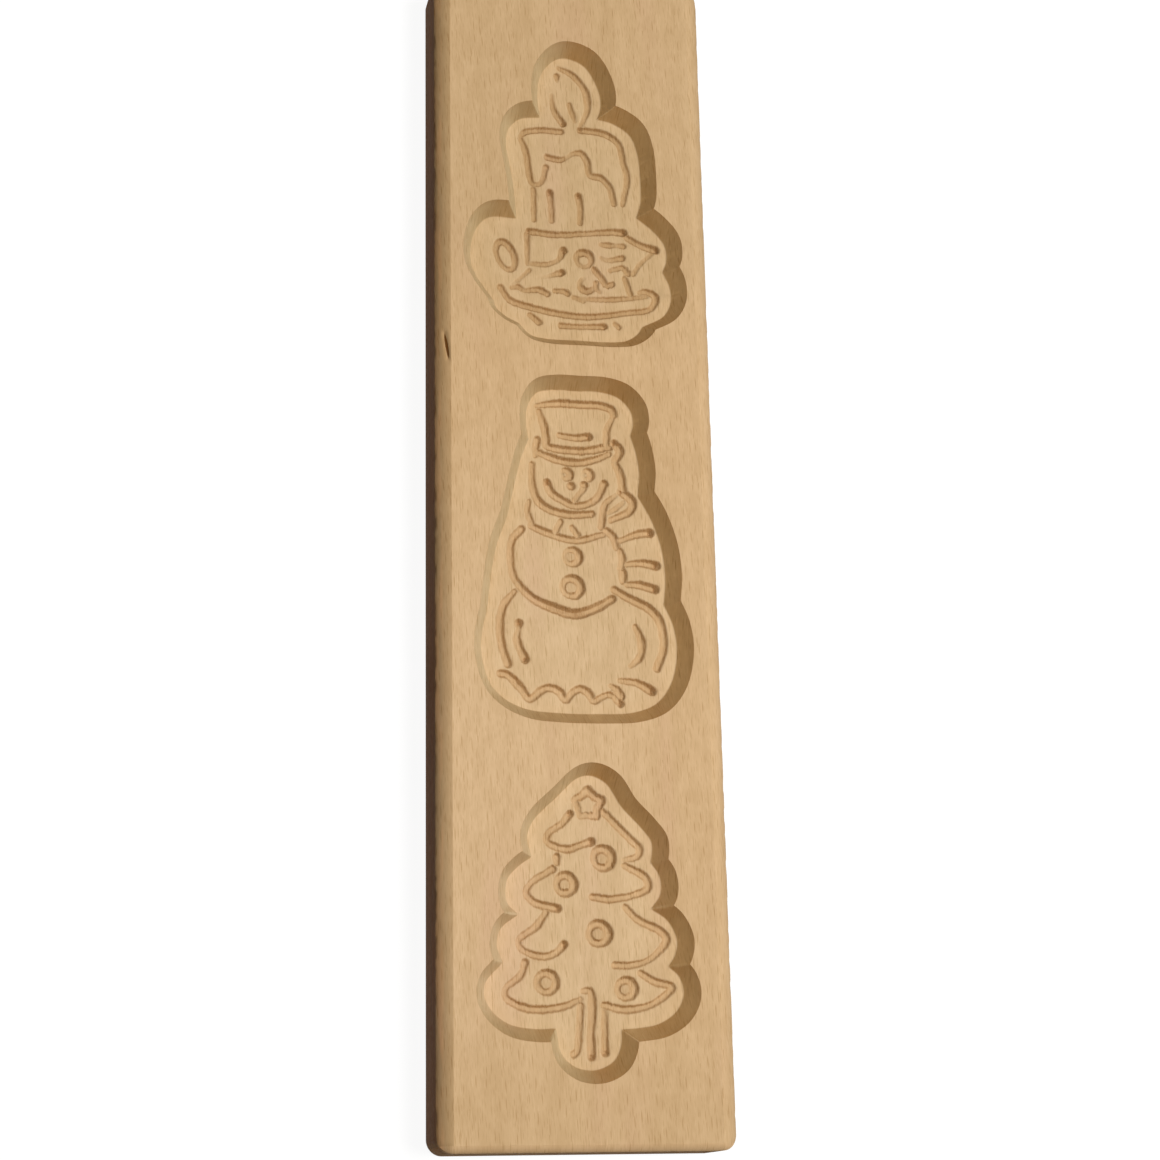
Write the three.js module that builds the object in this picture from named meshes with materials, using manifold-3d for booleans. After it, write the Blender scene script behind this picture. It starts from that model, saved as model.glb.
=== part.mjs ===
// Cookie mould: one board of beech with three pressed-dough cavities cut into its face.
// A candle with holly is at the top, a snowman in the middle and a fir tree at the bottom.
// Lengths are in mm. The back lies on z = 0, the carved face looks up, and +Y points at the candle's end.
import * as THREE from "three";
import { mergeVertices } from "three/addons/utils/BufferGeometryUtils.js";
import Module from "manifold-3d";

// Board
const boardLength = 320;
const boardWidth = 75;
const boardThickness = 20;
const cornerRadius = 4; // upright corners
const edgeRadius = 6.4; // arc all round the carved face, with a crisp line on both sides of it
const edgeStart = 15; // degrees off level where the arc leaves the face
const edgeEnd = 60; // and where it meets the upright side
const endArc = 0.45; // size of the same arc across both ends, as a share of that along the sides
const backEase = 0.8; // small bevel along the back

// Cavities: a flat floor, and a wall that leans out by wallRun on the way up
const cavityDepth = 4.5;
const wallRun = 3.1;

// Engraved lines in the cavity floors
const grooveWidth = 2.1; // the candle's lines, and all rings
const wideGroove = 2.6; // the snowman's and the tree's lines
const grooveDepth = 0.9;
const fineWidth = 1.3; // eyes and star
const dimpleRadius = 1.1;
const dimpleFoot = 0.4; // share of the radius left at the bottom of a dimple
const dimpleLip = 1.2; // and the share its cutter has above the floor
const footShare = 0.45; // width of a groove's foot, as a share of its mouth
const endShare = 0.45; // width left at the very end of a groove
const endReach = 0.75; // how far past its last point a groove runs, in half widths
const endRise = 0.4; // how much shallower the end is

// The figures are drawn for a board of this size, and shrink, grow and spread out with the real one
const drawnLength = 320;
const drawnWidth = 75;
const figureScale = Math.min(boardLength / drawnLength, boardWidth / drawnWidth);
const spread = boardLength / drawnLength;
const candleAt = 94 * spread; // from the middle of the board
const snowmanAt = -7.7 * spread;
const treeAt = -105 * spread;

const outlineSlack = 0.05; // how far an outline's flat pieces may stray from the curve
const strokeSlack = 0.16; // the same for a groove
const cutOver = 0.3; // a groove's cutter reaches this far above the floor
const cavityOver = 1; // and a cavity's cutter this far above the face
const floorZ = boardThickness - cavityDepth;
const tone = { colour: "#cda877", roughness: 0.72 };

const wasm = await Module();
wasm.setup();
const { Manifold, Mesh: SolidMesh } = wasm;

// A closed body from a list of triangles, each given by three [x, y, z] corners
function solidFrom(triangles) {
  const shell = new THREE.BufferGeometry();
  shell.setAttribute("position", new THREE.Float32BufferAttribute(triangles.flat(2), 3));
  const merged = mergeVertices(shell, 1e-4);
  const corners = merged.index.array;
  const kept = [];
  for (let i = 0; i < corners.length; i += 3) {
    const [a, b, c] = [corners[i], corners[i + 1], corners[i + 2]];
    if (a !== b && b !== c && c !== a) kept.push(a, b, c);
  }
  const vertProperties = new Float32Array(merged.attributes.position.array);
  const body = new Manifold(
    new SolidMesh({ numProp: 3, vertProperties, triVerts: new Uint32Array(kept) })
  );
  if (body.volume() > 0) return body;
  for (let i = 0; i < kept.length; i += 3) [kept[i + 1], kept[i + 2]] = [kept[i + 2], kept[i + 1]];
  return new Manifold(
    new SolidMesh({ numProp: 3, vertProperties, triVerts: new Uint32Array(kept) })
  );
}

// Skin between rings of equal length, stacked from bottom to top, with both ends closed
function loft(rings) {
  const faces = [];
  const around = rings[0].length;
  for (let k = 0; k + 1 < rings.length; k++) {
    for (let i = 0; i < around; i++) {
      const j = (i + 1) % around;
      faces.push([rings[k][i], rings[k][j], rings[k + 1][j]]);
      faces.push([rings[k][i], rings[k + 1][j], rings[k + 1][i]]);
    }
  }
  const same = (p, q) => Math.hypot(p[0] - q[0], p[1] - q[1]) < 1e-4;
  const cap = (ring, turned) => {
    const open = ring.filter((p, i) => !same(p, ring[(i + 1) % around]));
    const flat = open.map((p) => new THREE.Vector2(p[0], p[1]));
    for (const [a, b, c] of THREE.ShapeUtils.triangulateShape(flat, [])) {
      faces.push(turned ? [open[a], open[c], open[b]] : [open[a], open[b], open[c]]);
    }
  };
  const turnsLeft = THREE.ShapeUtils.area(rings[0].map((p) => new THREE.Vector2(p[0], p[1]))) > 0;
  cap(rings[0], turnsLeft);
  cap(rings[rings.length - 1], !turnsLeft);
  return solidFrom(faces);
}

// The points of a run that a straight line between its ends would miss by more than slack
function thinned(run, slack) {
  const [a, b] = [run[0], run[run.length - 1]];
  const reach = Math.hypot(b[0] - a[0], b[1] - a[1]) || 1;
  let far = 0;
  let at = -1;
  for (let i = 1; i + 1 < run.length; i++) {
    const off = Math.abs((run[i][0] - a[0]) * (b[1] - a[1]) - (run[i][1] - a[1]) * (b[0] - a[0])) / reach;
    if (off > far) [far, at] = [off, i];
  }
  if (far < slack) return [a, b];
  return [...thinned(run.slice(0, at + 1), slack), ...thinned(run.slice(at), slack).slice(1)];
}

// Points along a smooth curve through the given ones: close together in bends, far apart on straights
function smoothRun(points, slack) {
  const knots = points.map(([x, y]) => new THREE.Vector3(x, y, 0));
  const curve = new THREE.CatmullRomCurve3(knots, false, "centripetal");
  const pieces = Math.max(4, Math.ceil(curve.getLength() / 0.8));
  return thinned(curve.getSpacedPoints(pieces).map((p) => [p.x, p.y]), slack);
}

// Rounded rectangle as a ring at height z, drawn inset from the board's outline.
// Across the ends it may have an inset and a height of its own, and the corners lead over to them.
function boardRing(inset, z, endInset = inset, endZ = z) {
  const ring = [];
  const radiusX = Math.max(cornerRadius - inset, 0.5);
  const radiusY = Math.max(cornerRadius - endInset, 0.5);
  const arcSteps = 6;
  for (const [sx, sy, start] of [[1, -1, -90], [1, 1, 0], [-1, 1, 90], [-1, -1, 180]]) {
    const centreX = sx * (boardWidth / 2 - inset - radiusX);
    const centreY = sy * (boardLength / 2 - endInset - radiusY);
    for (let k = 0; k <= arcSteps; k++) {
      const a = THREE.MathUtils.degToRad(start + (90 * k) / arcSteps);
      const [c, s] = [Math.cos(a), Math.sin(a)];
      ring.push([centreX + radiusX * c, centreY + radiusY * s, z * c * c + endZ * s * s]);
    }
  }
  return ring;
}

function makeBlank() {
  const rings = [boardRing(backEase, 0), boardRing(0, backEase)];
  const edgeSteps = 5;
  const [start, end] = [edgeStart, edgeEnd].map(THREE.MathUtils.degToRad);
  for (let k = 0; k <= edgeSteps; k++) {
    const a = end + ((start - end) * k) / edgeSteps;
    const inset = edgeRadius * (Math.sin(end) - Math.sin(a));
    const drop = edgeRadius * (Math.cos(start) - Math.cos(a));
    rings.push(boardRing(inset, boardThickness - drop, inset * endArc, boardThickness - drop * endArc));
  }
  return loft(rings);
}

// Where two straight pieces cross, or nothing
function crossing(a, b, c, d) {
  const [rx, ry, sx, sy] = [b[0] - a[0], b[1] - a[1], d[0] - c[0], d[1] - c[1]];
  const det = rx * sy - ry * sx;
  if (Math.abs(det) < 1e-9) return null;
  const t = ((c[0] - a[0]) * sy - (c[1] - a[1]) * sx) / det;
  const u = ((c[0] - a[0]) * ry - (c[1] - a[1]) * rx) / det;
  return t >= 0 && t <= 1 && u >= 0 && u <= 1 ? [a[0] + t * rx, a[1] + t * ry] : null;
}

// The rim above one lobe of a floor outline: the lobe pushed outwards by wallRun.
// Lobes run clockwise, so outwards is to the left of the way along.
function pushedOut(lobe) {
  return lobe.map((p, i) => {
    const before = lobe[Math.max(i - 1, 0)];
    const after = lobe[Math.min(i + 1, lobe.length - 1)];
    const [dx, dy] = [after[0] - before[0], after[1] - before[1]];
    const size = Math.hypot(dx, dy);
    return [p[0] - (wallRun * dy) / size, p[1] + (wallRun * dx) / size];
  });
}

// Two neighbouring rims are both cut back to where they cross, above the cusp of the floor
function trimmedAt(first, second) {
  for (let i = first.length - 1; i > 0; i--) {
    for (let j = 0; j + 1 < second.length; j++) {
      const meet = crossing(first[i - 1], first[i], second[j], second[j + 1]);
      if (!meet) continue;
      for (let k = i; k < first.length; k++) first[k] = meet;
      for (let k = 0; k <= j; k++) second[k] = meet;
      return;
    }
  }
  const last = first[first.length - 1];
  const middle = [(last[0] + second[0][0]) / 2, (last[1] + second[0][1]) / 2];
  first[first.length - 1] = middle;
  second[0] = middle;
}

// The body to be taken out for one cavity
function cavityBody(lobes, at) {
  const floors = lobes.map((lobe) => smoothRun(scaled(lobe), outlineSlack));
  const rims = floors.map(pushedOut);
  rims.forEach((rim, i) => trimmedAt(rim, rims[(i + 1) % rims.length]));
  const around = (parts) => parts.flatMap((part) => part.slice(0, -1));
  const ring = (outline, z) => outline.map(([x, y]) => [x, y + at, z]);
  const rim = around(rims);
  return loft([
    ring(around(floors), floorZ),
    ring(rim, boardThickness),
    ring(rim, boardThickness + cavityOver),
  ]);
}

const scaled = (points) => points.map(([x, y]) => [x * figureScale, y * figureScale]);

// A groove: a blunt V with sloping sides, swept along a run of points and drawn in at its ends
function grooveBody(run, at, width, closed = false) {
  const half = width / 2;
  const foot = footShare * half;
  const lean = (half - foot) / grooveDepth;
  const stations = run.map((p, i) => {
    const before = closed ? run[(i + run.length - 1) % run.length] : run[Math.max(i - 1, 0)];
    const after = closed ? run[(i + 1) % run.length] : run[Math.min(i + 1, run.length - 1)];
    const size = Math.hypot(after[0] - before[0], after[1] - before[1]);
    return { p, along: [(after[0] - before[0]) / size, (after[1] - before[1]) / size], full: 1 };
  });
  if (!closed) {
    const endOf = (station, way) => {
      const [x, y] = station.p;
      const [dx, dy] = station.along;
      const reach = endReach * half * way;
      return { p: [x + dx * reach, y + dy * reach], along: [dx, dy], full: endShare };
    };
    stations.unshift(endOf(stations[0], -1));
    stations.push(endOf(stations[stations.length - 1], 1));
  }
  const sections = stations.map(({ p, along, full }) => {
    const place = (side, z) => [p[0] - along[1] * side, p[1] + along[0] * side + at, z];
    const depth = grooveDepth * (full < 1 ? 1 - endRise : 1);
    const top = half * full + lean * cutOver;
    return [
      place(-top, floorZ + cutOver),
      place(-foot * full, floorZ - depth),
      place(foot * full, floorZ - depth),
      place(top, floorZ + cutOver),
    ];
  });
  const faces = [];
  const spans = closed ? sections.length : sections.length - 1;
  for (let k = 0; k < spans; k++) {
    const [here, next] = [sections[k], sections[(k + 1) % sections.length]];
    for (let i = 0; i < 4; i++) {
      const j = (i + 1) % 4;
      faces.push([here[i], here[j], next[j]], [here[i], next[j], next[i]]);
    }
  }
  if (!closed) {
    const [first, last] = [sections[0], sections[sections.length - 1]];
    faces.push([first[0], first[2], first[1]], [first[0], first[3], first[2]]);
    faces.push([last[0], last[1], last[2]], [last[0], last[2], last[3]]);
  }
  return solidFrom(faces);
}

// A round or oval groove, leaning by tilt degrees
function ringBody([x, y, radius, across = radius, tilt = 0], at, width = grooveWidth) {
  const t = THREE.MathUtils.degToRad(tilt);
  const pieces = radius < 2 ? 8 : 10;
  const run = [];
  for (let k = 0; k < pieces; k++) {
    const a = (2 * Math.PI * k) / pieces;
    const [u, v] = [radius * Math.cos(a), across * Math.sin(a)];
    run.push([x + u * Math.cos(t) - v * Math.sin(t), y + u * Math.sin(t) + v * Math.cos(t)]);
  }
  return grooveBody(scaled(run), at, width, true);
}

// A drilled dimple with eight sides
function dimpleBody([x, y], at) {
  const disc = (radius, z) =>
    Array.from({ length: 8 }, (_, k) => {
      const a = (Math.PI / 4) * k;
      return [x * figureScale + radius * Math.cos(a), y * figureScale + at + radius * Math.sin(a), z];
    });
  return loft([
    disc(dimpleFoot * dimpleRadius, floorZ - grooveDepth),
    disc(dimpleRadius, floorZ),
    disc(dimpleLip * dimpleRadius, floorZ + cutOver),
  ]);
}

// Candle with holly on a chamber stick. Points are from the figure's middle, on the cavity's floor.
// Each lobe is a smooth run from one sharp notch of the outline to the next, going clockwise.
const candle = {
  lobes: [
    [[-7.3, 23.7], [-8, 30], [-6.7, 37.3], [-1.5, 42.3], [5, 40.7], [9.3, 33], [9.7, 28], [8.6, 24.5]],
    [[8.6, 24.5], [13, 23.6], [17.8, 20.4], [19.9, 15], [20.6, 5], [20.4, 0], [19.1, -4.4]],
    [[19.1, -4.4], [23.5, -7.8], [26.8, -12], [27.3, -16.5], [26.1, -20]],
    [[26.1, -20], [28, -24.4], [28.1, -29], [26, -33], [20, -36.5]],
    [[20, -36.5], [18.6, -38.7], [15.5, -40.8], [11, -41.5], [2, -41.6], [-7, -41.6], [-11, -40.7],
      [-14, -37.6]],
    [[-14, -37.6], [-17.5, -35.9], [-20.2, -33.5], [-20.8, -31.5]],
    [[-20.8, -31.5], [-25, -25.6], [-26.8, -21.5], [-27, -16.5], [-25.3, -10.8], [-22, -7.5], [-14.3, -7.2]],
    [[-14.3, -7.2], [-15, 2], [-16.3, 10], [-17, 15.5], [-16, 19.8], [-13, 22.7], [-7.3, 23.7]],
  ],
  strokes: [
    [[-2, 39.5], [1.5, 38], [4.5, 35], [6, 31.5], [6, 27], [4, 22]], // flame, right side
    [[-4, 31], [-3.5, 26.5], [-1, 22.5]], // flame, left side
    [[-2.5, 37], [-2.5, 35.5]],
    [[1, 28.5], [2, 25], [2.5, 23.5]], // wick
    [[-11.5, 19], [-7.5, 20], [-1.5, 20]], // rim of the wax
    [[4, 21], [10.5, 20.5], [14.5, 18], [16, 12], [17, 7.5], [15.5, -0.5]],
    [[-13, 18], [-11.5, 13], [-10.5, 5.5], [-9.5, 3.5], [-7.5, 4], [-6, 9]], // left side and drip
    [[-5.5, 12], [-2, 11.5], [1.5, 13.5], [4, 14], [5.5, 12], [6.5, 7.5], [9.5, 7], [12, 4], [13, -0.5]],
    [[-9.5, 2], [-9.5, -3.5], [-9.5, -7]], // streaks down the wax
    [[-5, 1.5], [-4.5, -2], [-4.5, -7]],
    [[3, 1], [4, -3], [3, -7]],
    [[-11, -10.5], [-3.5, -11], [5, -10], [12.5, -9], [15.5, -9]], // foot of the candle
    [[16.5, -10.5], [20.5, -12.5], [24.5, -13.5]], // right holly leaf
    [[23.5, -14.5], [20, -18], [18, -21]],
    [[11.5, -20.5], [15, -19.5], [16.5, -21]],
    [[9, -13], [11.5, -13], [15.5, -13]],
    [[9, -17], [11, -17.5], [15, -16.5]],
    [[-11.5, -11.5], [-11.5, -16], [-11.5, -20]], // left holly leaf
    [[-10.5, -20], [-6.5, -20], [-3, -18.5], [-1.5, -15.5]],
    [[-11, -22], [-14, -25], [-15.5, -26.5]],
    [[-8.5, -24], [-6, -23.5], [-2, -22]],
    [[-16, -27.5], [-14, -27], [-12.5, -28], [-8.5, -27.5], [-6, -28.5]],
    [[-4, -27.5], [-2, -27.5], [-0.5, -28]],
    [[1, -29], [4, -30]],
    [[7, -20.5], [9, -23], [10.5, -25], [12, -24.5]], // leaf below the berries
    [[7.5, -24.5], [7.5, -26], [8.5, -27]],
    [[15.5, -22.5], [16.5, -25.5], [17, -27]],
    [[-19, -27.5], [-16.5, -31], [-12, -32.5], [-4, -34], [4.5, -34.5], [16.5, -32.5], [22.5, -31],
      [24, -27.5], [21.5, -26], [19.5, -26.5]], // saucer
    [[3, -29.5], [11.5, -29], [21.5, -27.5]],
    [[-11, -35], [-8.5, -37]], // foot of the saucer
    [[-2.5, -37.5], [3, -37.5], [9.5, -37]],
    [[12.5, -36], [13.5, -37]],
  ],
  lineWidth: grooveWidth,
  rings: [[4.2, -17.7, 2.2], [5, -24.8, 1.9], [-17.5, -18.4, 2.3, 4.2, 20]], // two berries and the handle
  fineRings: [],
  dimples: [],
};

// Snowman with hat and scarf
const snowman = {
  lobes: [
    [[-11.8, 30.8], [-12.4, 35.5], [-11.9, 40.3], [-9.5, 44], [-5.5, 45.1], [1.5, 45.2], [8, 45.2],
      [12.8, 43.8], [16, 40.3], [16.6, 36.5], [15.8, 33.3]],
    [[15.8, 33.3], [17.2, 28.5], [18, 22.5], [17.4, 16.4]],
    [[17.4, 16.4], [21, 9.8], [23.5, 2], [24.3, -6], [23.7, -13.2]],
    [[23.7, -13.2], [26.1, -19], [26.9, -26], [25, -34.5], [21, -39.8], [15, -42.3], [6, -43], [-6, -43],
      [-13, -42.3], [-18.5, -40], [-22.3, -36.3], [-24.5, -30], [-24.8, -24], [-23.2, -15.8]],
    [[-23.2, -15.8], [-22.3, -8], [-20.8, 0.5], [-17.8, 9]],
    [[-17.8, 9], [-15.6, 18.5], [-13.7, 26], [-11.8, 30.8]],
  ],
  strokes: [
    [[-9.5, 40.5], [-4, 41.5], [2.5, 41.5], [8, 41.5], [11, 40.5], [11.5, 39]], // hat
    [[-9, 39], [-7.5, 34.5], [-7, 29.5]],
    [[11, 38], [9.5, 34.5], [9.5, 30]],
    [[-3.5, 32.5], [0.5, 32], [4.5, 32.5]],
    [[-6.5, 29], [-2.5, 28.5], [3.5, 28.5], [10, 30]], // brim
    [[-9.5, 31], [-10, 28.5], [-10, 26.5]],
    [[-9.5, 27.5], [-5.5, 26], [1, 25], [7, 26.5], [10, 28]],
    [[11.5, 31], [13, 29], [11.5, 26]],
    [[-11, 24], [-11, 18.5], [-9.5, 14], [-6, 11.5], [-0.5, 10.5], [5, 11]], // head
    [[11.5, 25.5], [13, 22], [13.5, 18]],
    [[3, 18], [1, 15.5], [0.5, 14.5]], // nose
    [[-7, 19], [-6, 16.5], [-4, 15], [1, 13], [6, 15], [8.5, 19.5]], // mouth
    [[-12, 13.5], [-12.5, 11.5], [-11, 7]], // scarf
    [[-11.5, 7], [-9, 6], [-6.5, 5], [0.5, 3.5], [8, 5.5]],
    [[-3.5, 8.5], [-5, 5.5]],
    [[-0.5, 7], [1, 5]],
    [[13, 17.5], [16, 15], [15.5, 12.5], [10, 9.5]], // knot
    [[11.5, 16.5], [8.5, 13.5], [7.5, 7.5]],
    [[9, 6.5], [10.5, 5], [11.5, 2]], // end of the scarf, with its stripes
    [[12.5, 4], [17.5, 6], [20.5, 6.5]],
    [[12.5, 1], [13, -1], [12.5, -3.5]],
    [[13, -4.5], [13, -7]],
    [[14, -2.5], [18, -2], [22, -2.5]],
    [[14, -8], [17.5, -8], [21.5, -9]],
    [[-14, 6], [-16.5, 3], [-17, -2.5], [-16, -7.5], [-11.5, -12.5], [-6, -15], [0, -16.5], [6, -14.5],
      [10, -12]],
    [[10.5, -9.5], [14, -11.5], [20, -14.5], [22.5, -17.5], [23.5, -24.5], [21.5, -30.5]], // lower body
    [[-16, -11], [-19, -15], [-20, -20], [-19.5, -25.5], [-18, -30.5]],
    [[-15, -19.5], [-15.5, -24], [-13.5, -29]],
    [[16, -19.5], [17.5, -23], [17, -27.5], [14.5, -30]],
    [[-20, -33], [-18, -33.5], [-14.5, -37], [-12.5, -39.5], [-9, -37], [-7, -36.5], [-4.5, -37.5],
      [-3, -39.5], [-1, -37.5], [1, -36.5], [3, -37.5], [4.5, -39.5], [7.5, -38], [9.5, -38], [11.5, -40]], // snow
    [[11.5, -34], [16, -34.5], [20, -36.5]],
  ],
  lineWidth: wideGroove,
  rings: [[-0.7, -1, 1.9], [-0.8, -9.3, 2.4]], // buttons
  fineRings: [[-1.9, 21.6, 1.2], [3.8, 21.7, 1.2]], // eyes
  dimples: [[-0.5, 18.5], [3, 19]],
};

// Fir tree with a star, four tiers of branches, five baubles and a trunk
const tree = {
  lobes: [
    [[-12.4, 16.9], [-13.5, 22], [-11.8, 26.2], [-6, 32], [-0.3, 37.2], [3, 37.9], [7, 36], [11, 30],
      [16, 24.7], [18.6, 21], [18.3, 15.8]],
    [[18.3, 15.8], [20.4, 12.5], [20.6, 8], [18, 4.1]],
    [[18, 4.1], [22.2, 1.2], [24.5, -3.5], [24, -7.3], [22.1, -10.3]],
    [[22.1, -10.3], [24.8, -12.8], [25.9, -17], [24, -21.3], [19.5, -24.4], [14, -25.5], [9.7, -25.8]],
    [[9.7, -25.8], [9.4, -30], [7.5, -33.6], [3, -35.7], [-2, -35], [-5.5, -31.8], [-6.8, -25.6]],
    [[-6.8, -25.6], [-12.5, -25.7], [-18.5, -24.6], [-22.5, -21.8], [-24.7, -18], [-24.4, -14.5], [-20, -9.5]],
    [[-20, -9.5], [-21.5, -5], [-20.3, -1], [-15.9, 2.4]],
    [[-15.9, 2.4], [-18.6, 5], [-19.2, 8], [-18.6, 11.3], [-16.5, 13.9], [-12.4, 16.9]],
  ],
  strokes: [
    [[-2.5, 28], [-4.5, 25.5], [-8, 23], [-8.5, 21], [-6, 19.5], [-3, 19], [0, 20], [3, 21]], // branches
    [[6.5, 28.5], [10, 25], [13.5, 21.5], [15.5, 19.5], [15, 17.5], [11.5, 16.5]],
    [[-6, 17], [-6, 15.5]],
    [[-7, 14], [-13, 10], [-14, 8], [-12, 5.5], [-6, 4]],
    [[11.5, 15], [17, 12], [17.5, 9.5], [13.5, 7.5], [7.5, 6.5], [3, 7]],
    [[-9, 3], [-11.5, -0.5], [-16, -4], [-15.5, -6], [-10, -8], [-6.5, -7], [-4.5, -5]],
    [[11.5, 4.5], [14.5, 1.5], [20.5, -1.5], [22, -3.5], [17.5, -8.5], [12.5, -10], [8.5, -10]],
    [[-14.5, -9.5], [-15.5, -12.5], [-19.5, -16], [-19.5, -18], [-15, -20.5], [-9.5, -21], [-4, -20],
      [-0.5, -18.5]],
    [[15, -12], [18.5, -14], [23, -15.5], [20.5, -18], [17, -20], [11, -21], [5.5, -20]],
    [[-0.5, -20], [-1, -26], [-1.5, -31], [-2.5, -32]], // trunk
    [[0, -16.5], [2, -16.5], [2.5, -20], [2, -27], [2, -32.5]],
    [[5.5, -21.5], [5.5, -26], [5.5, -31.5]],
  ],
  lineWidth: wideGroove,
  rings: [ // baubles
    [5.9, 16.8, 2.5],
    [-4, 10.1, 2.3],
    [4.5, -2.2, 2.5],
    [-9.1, -14.4, 2.4],
    [11.2, -15.9, 2.2],
  ],
  fineRings: [],
  dimples: [],
};

// The star on the tree is one closed groove with five soft points
const starAt = [2.3, 30.5];
const starOuter = 4.4;
const starInner = 2.7;
const starRun = Array.from({ length: 10 }, (_, k) => {
  const radius = k % 2 ? starInner : starOuter;
  const a = Math.PI / 2 - (Math.PI / 5) * k;
  return [starAt[0] + radius * Math.cos(a), starAt[1] + radius * Math.sin(a)];
});

function cutters(figure, at) {
  return [
    cavityBody(figure.lobes, at),
    ...figure.strokes.map((points) => grooveBody(smoothRun(scaled(points), strokeSlack), at, figure.lineWidth)),
    ...figure.rings.map((ring) => ringBody(ring, at)),
    ...figure.fineRings.map((ring) => ringBody(ring, at, fineWidth)),
    ...figure.dimples.map((point) => dimpleBody(point, at)),
  ];
}

const taken = Manifold.union([
  ...cutters(candle, candleAt),
  ...cutters(snowman, snowmanAt),
  ...cutters(tree, treeAt),
  grooveBody(scaled(starRun), treeAt, fineWidth, true),
]);
const cut = makeBlank().subtract(taken).decompose();
const board = cut.reduce((most, body) => (body.volume() > most.volume() ? body : most));

// The carved board as one named mesh
function meshOf(body, name) {
  const { vertProperties, triVerts } = body.getMesh();
  const shape = new THREE.BufferGeometry();
  shape.setAttribute("position", new THREE.BufferAttribute(vertProperties, 3));
  shape.setIndex(new THREE.BufferAttribute(triVerts, 1));
  const faceted = shape.toNonIndexed();
  faceted.computeVertexNormals();
  const material = new THREE.MeshStandardMaterial({
    color: new THREE.Color(tone.colour),
    roughness: tone.roughness,
    metalness: 0,
  });
  const mesh = new THREE.Mesh(faceted, material);
  mesh.name = name;
  return mesh;
}

const mould = new THREE.Group();
mould.name = "cookie_mould";
mould.add(meshOf(board, "mould_board"));

export default mould;
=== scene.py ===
import math

import bpy
import numpy as np
from mathutils import Matrix, Vector


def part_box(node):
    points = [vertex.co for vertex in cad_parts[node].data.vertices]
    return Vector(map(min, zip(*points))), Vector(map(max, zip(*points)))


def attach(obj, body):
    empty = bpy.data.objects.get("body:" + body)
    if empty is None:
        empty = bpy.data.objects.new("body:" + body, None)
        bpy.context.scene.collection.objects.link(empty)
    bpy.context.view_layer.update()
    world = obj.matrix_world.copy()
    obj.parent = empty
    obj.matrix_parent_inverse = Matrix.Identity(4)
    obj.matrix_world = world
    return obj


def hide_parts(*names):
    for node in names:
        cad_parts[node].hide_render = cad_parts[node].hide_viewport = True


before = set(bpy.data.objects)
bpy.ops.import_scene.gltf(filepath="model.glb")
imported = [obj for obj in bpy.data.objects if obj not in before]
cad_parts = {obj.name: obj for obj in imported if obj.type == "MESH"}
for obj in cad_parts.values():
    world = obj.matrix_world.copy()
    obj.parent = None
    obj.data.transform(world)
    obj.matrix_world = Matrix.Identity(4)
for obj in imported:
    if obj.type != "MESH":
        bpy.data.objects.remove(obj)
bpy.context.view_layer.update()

mm = 0.001
low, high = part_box("mould_board")
boardWidth, boardLength, boardThickness = [side / mm for side in high - low]
print("frame loaded, board", round(boardWidth, 1), round(boardLength, 1), round(boardThickness, 1), "mm")

board = {
    "cornerRadius": 4.0,   # upright corners
    "edgeRadius": 6.4,     # arc along the carved face
    "edgeStart": 15.0,     # degrees off level where it leaves the face
    "edgeEnd": 60.0,       # and where it meets the upright side
    "endArc": 0.45,        # size of the arc across both ends, as a share of that along the sides
    "edgeTorn": 0.16,      # how ragged the line between arc and side is
    "backEase": 0.8,       # small round along the back
    "gridStep": 0.22,      # size of the finest faces, in the carving
    "stride": 4,           # grid steps to one step along the plain edges
    "cornerSteps": 20,     # faces round each upright corner
    "faces": 192000,       # kept after thinning the flat parts
    "creaseAngle": 40.0,   # faces that meet at more than this keep a crisp line
}

# a split in the left edge
slit = {"ends": ((-35.2, 50.9), (-34.1, 43.2)), "wide": 0.8, "deep": 0.5}

carving = {
    "cavityDepth": 4.5,
    "wallRun": 3.1,     # how far the walls lean out
    "footSoft": 0.18,   # corner between wall and floor
    "tip": 0.2,         # half the flat tip of the cutter that made the lines
    "slope": 1.3,       # of the cutter's sides, up for each step out
    "tipSoft": 0.45,    # rounding between tip and sides
    "waver": 0.09,      # how unevenly deep a line is, as a share of its depth
    "plunge": 0.45,     # how much deeper the cutter went in where it rested
    "plungeWide": 0.47,
    "plungeShare": 1.05,  # it rested at ends with more than this share of the depth
    "smallRing": 1.5,   # rings up to this radius keep the whole of their middle
    "tear": 0.09,       # how far torn fibres move the edge of a line
    "fuzz": 0.11,       # height of the fibres left standing beside it
    "fibre": 0.02,      # height of the fibres in the line
    "pitted": 0.12,     # depth of the pits where the wood is torn most
    "seed": 7,
}

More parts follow.
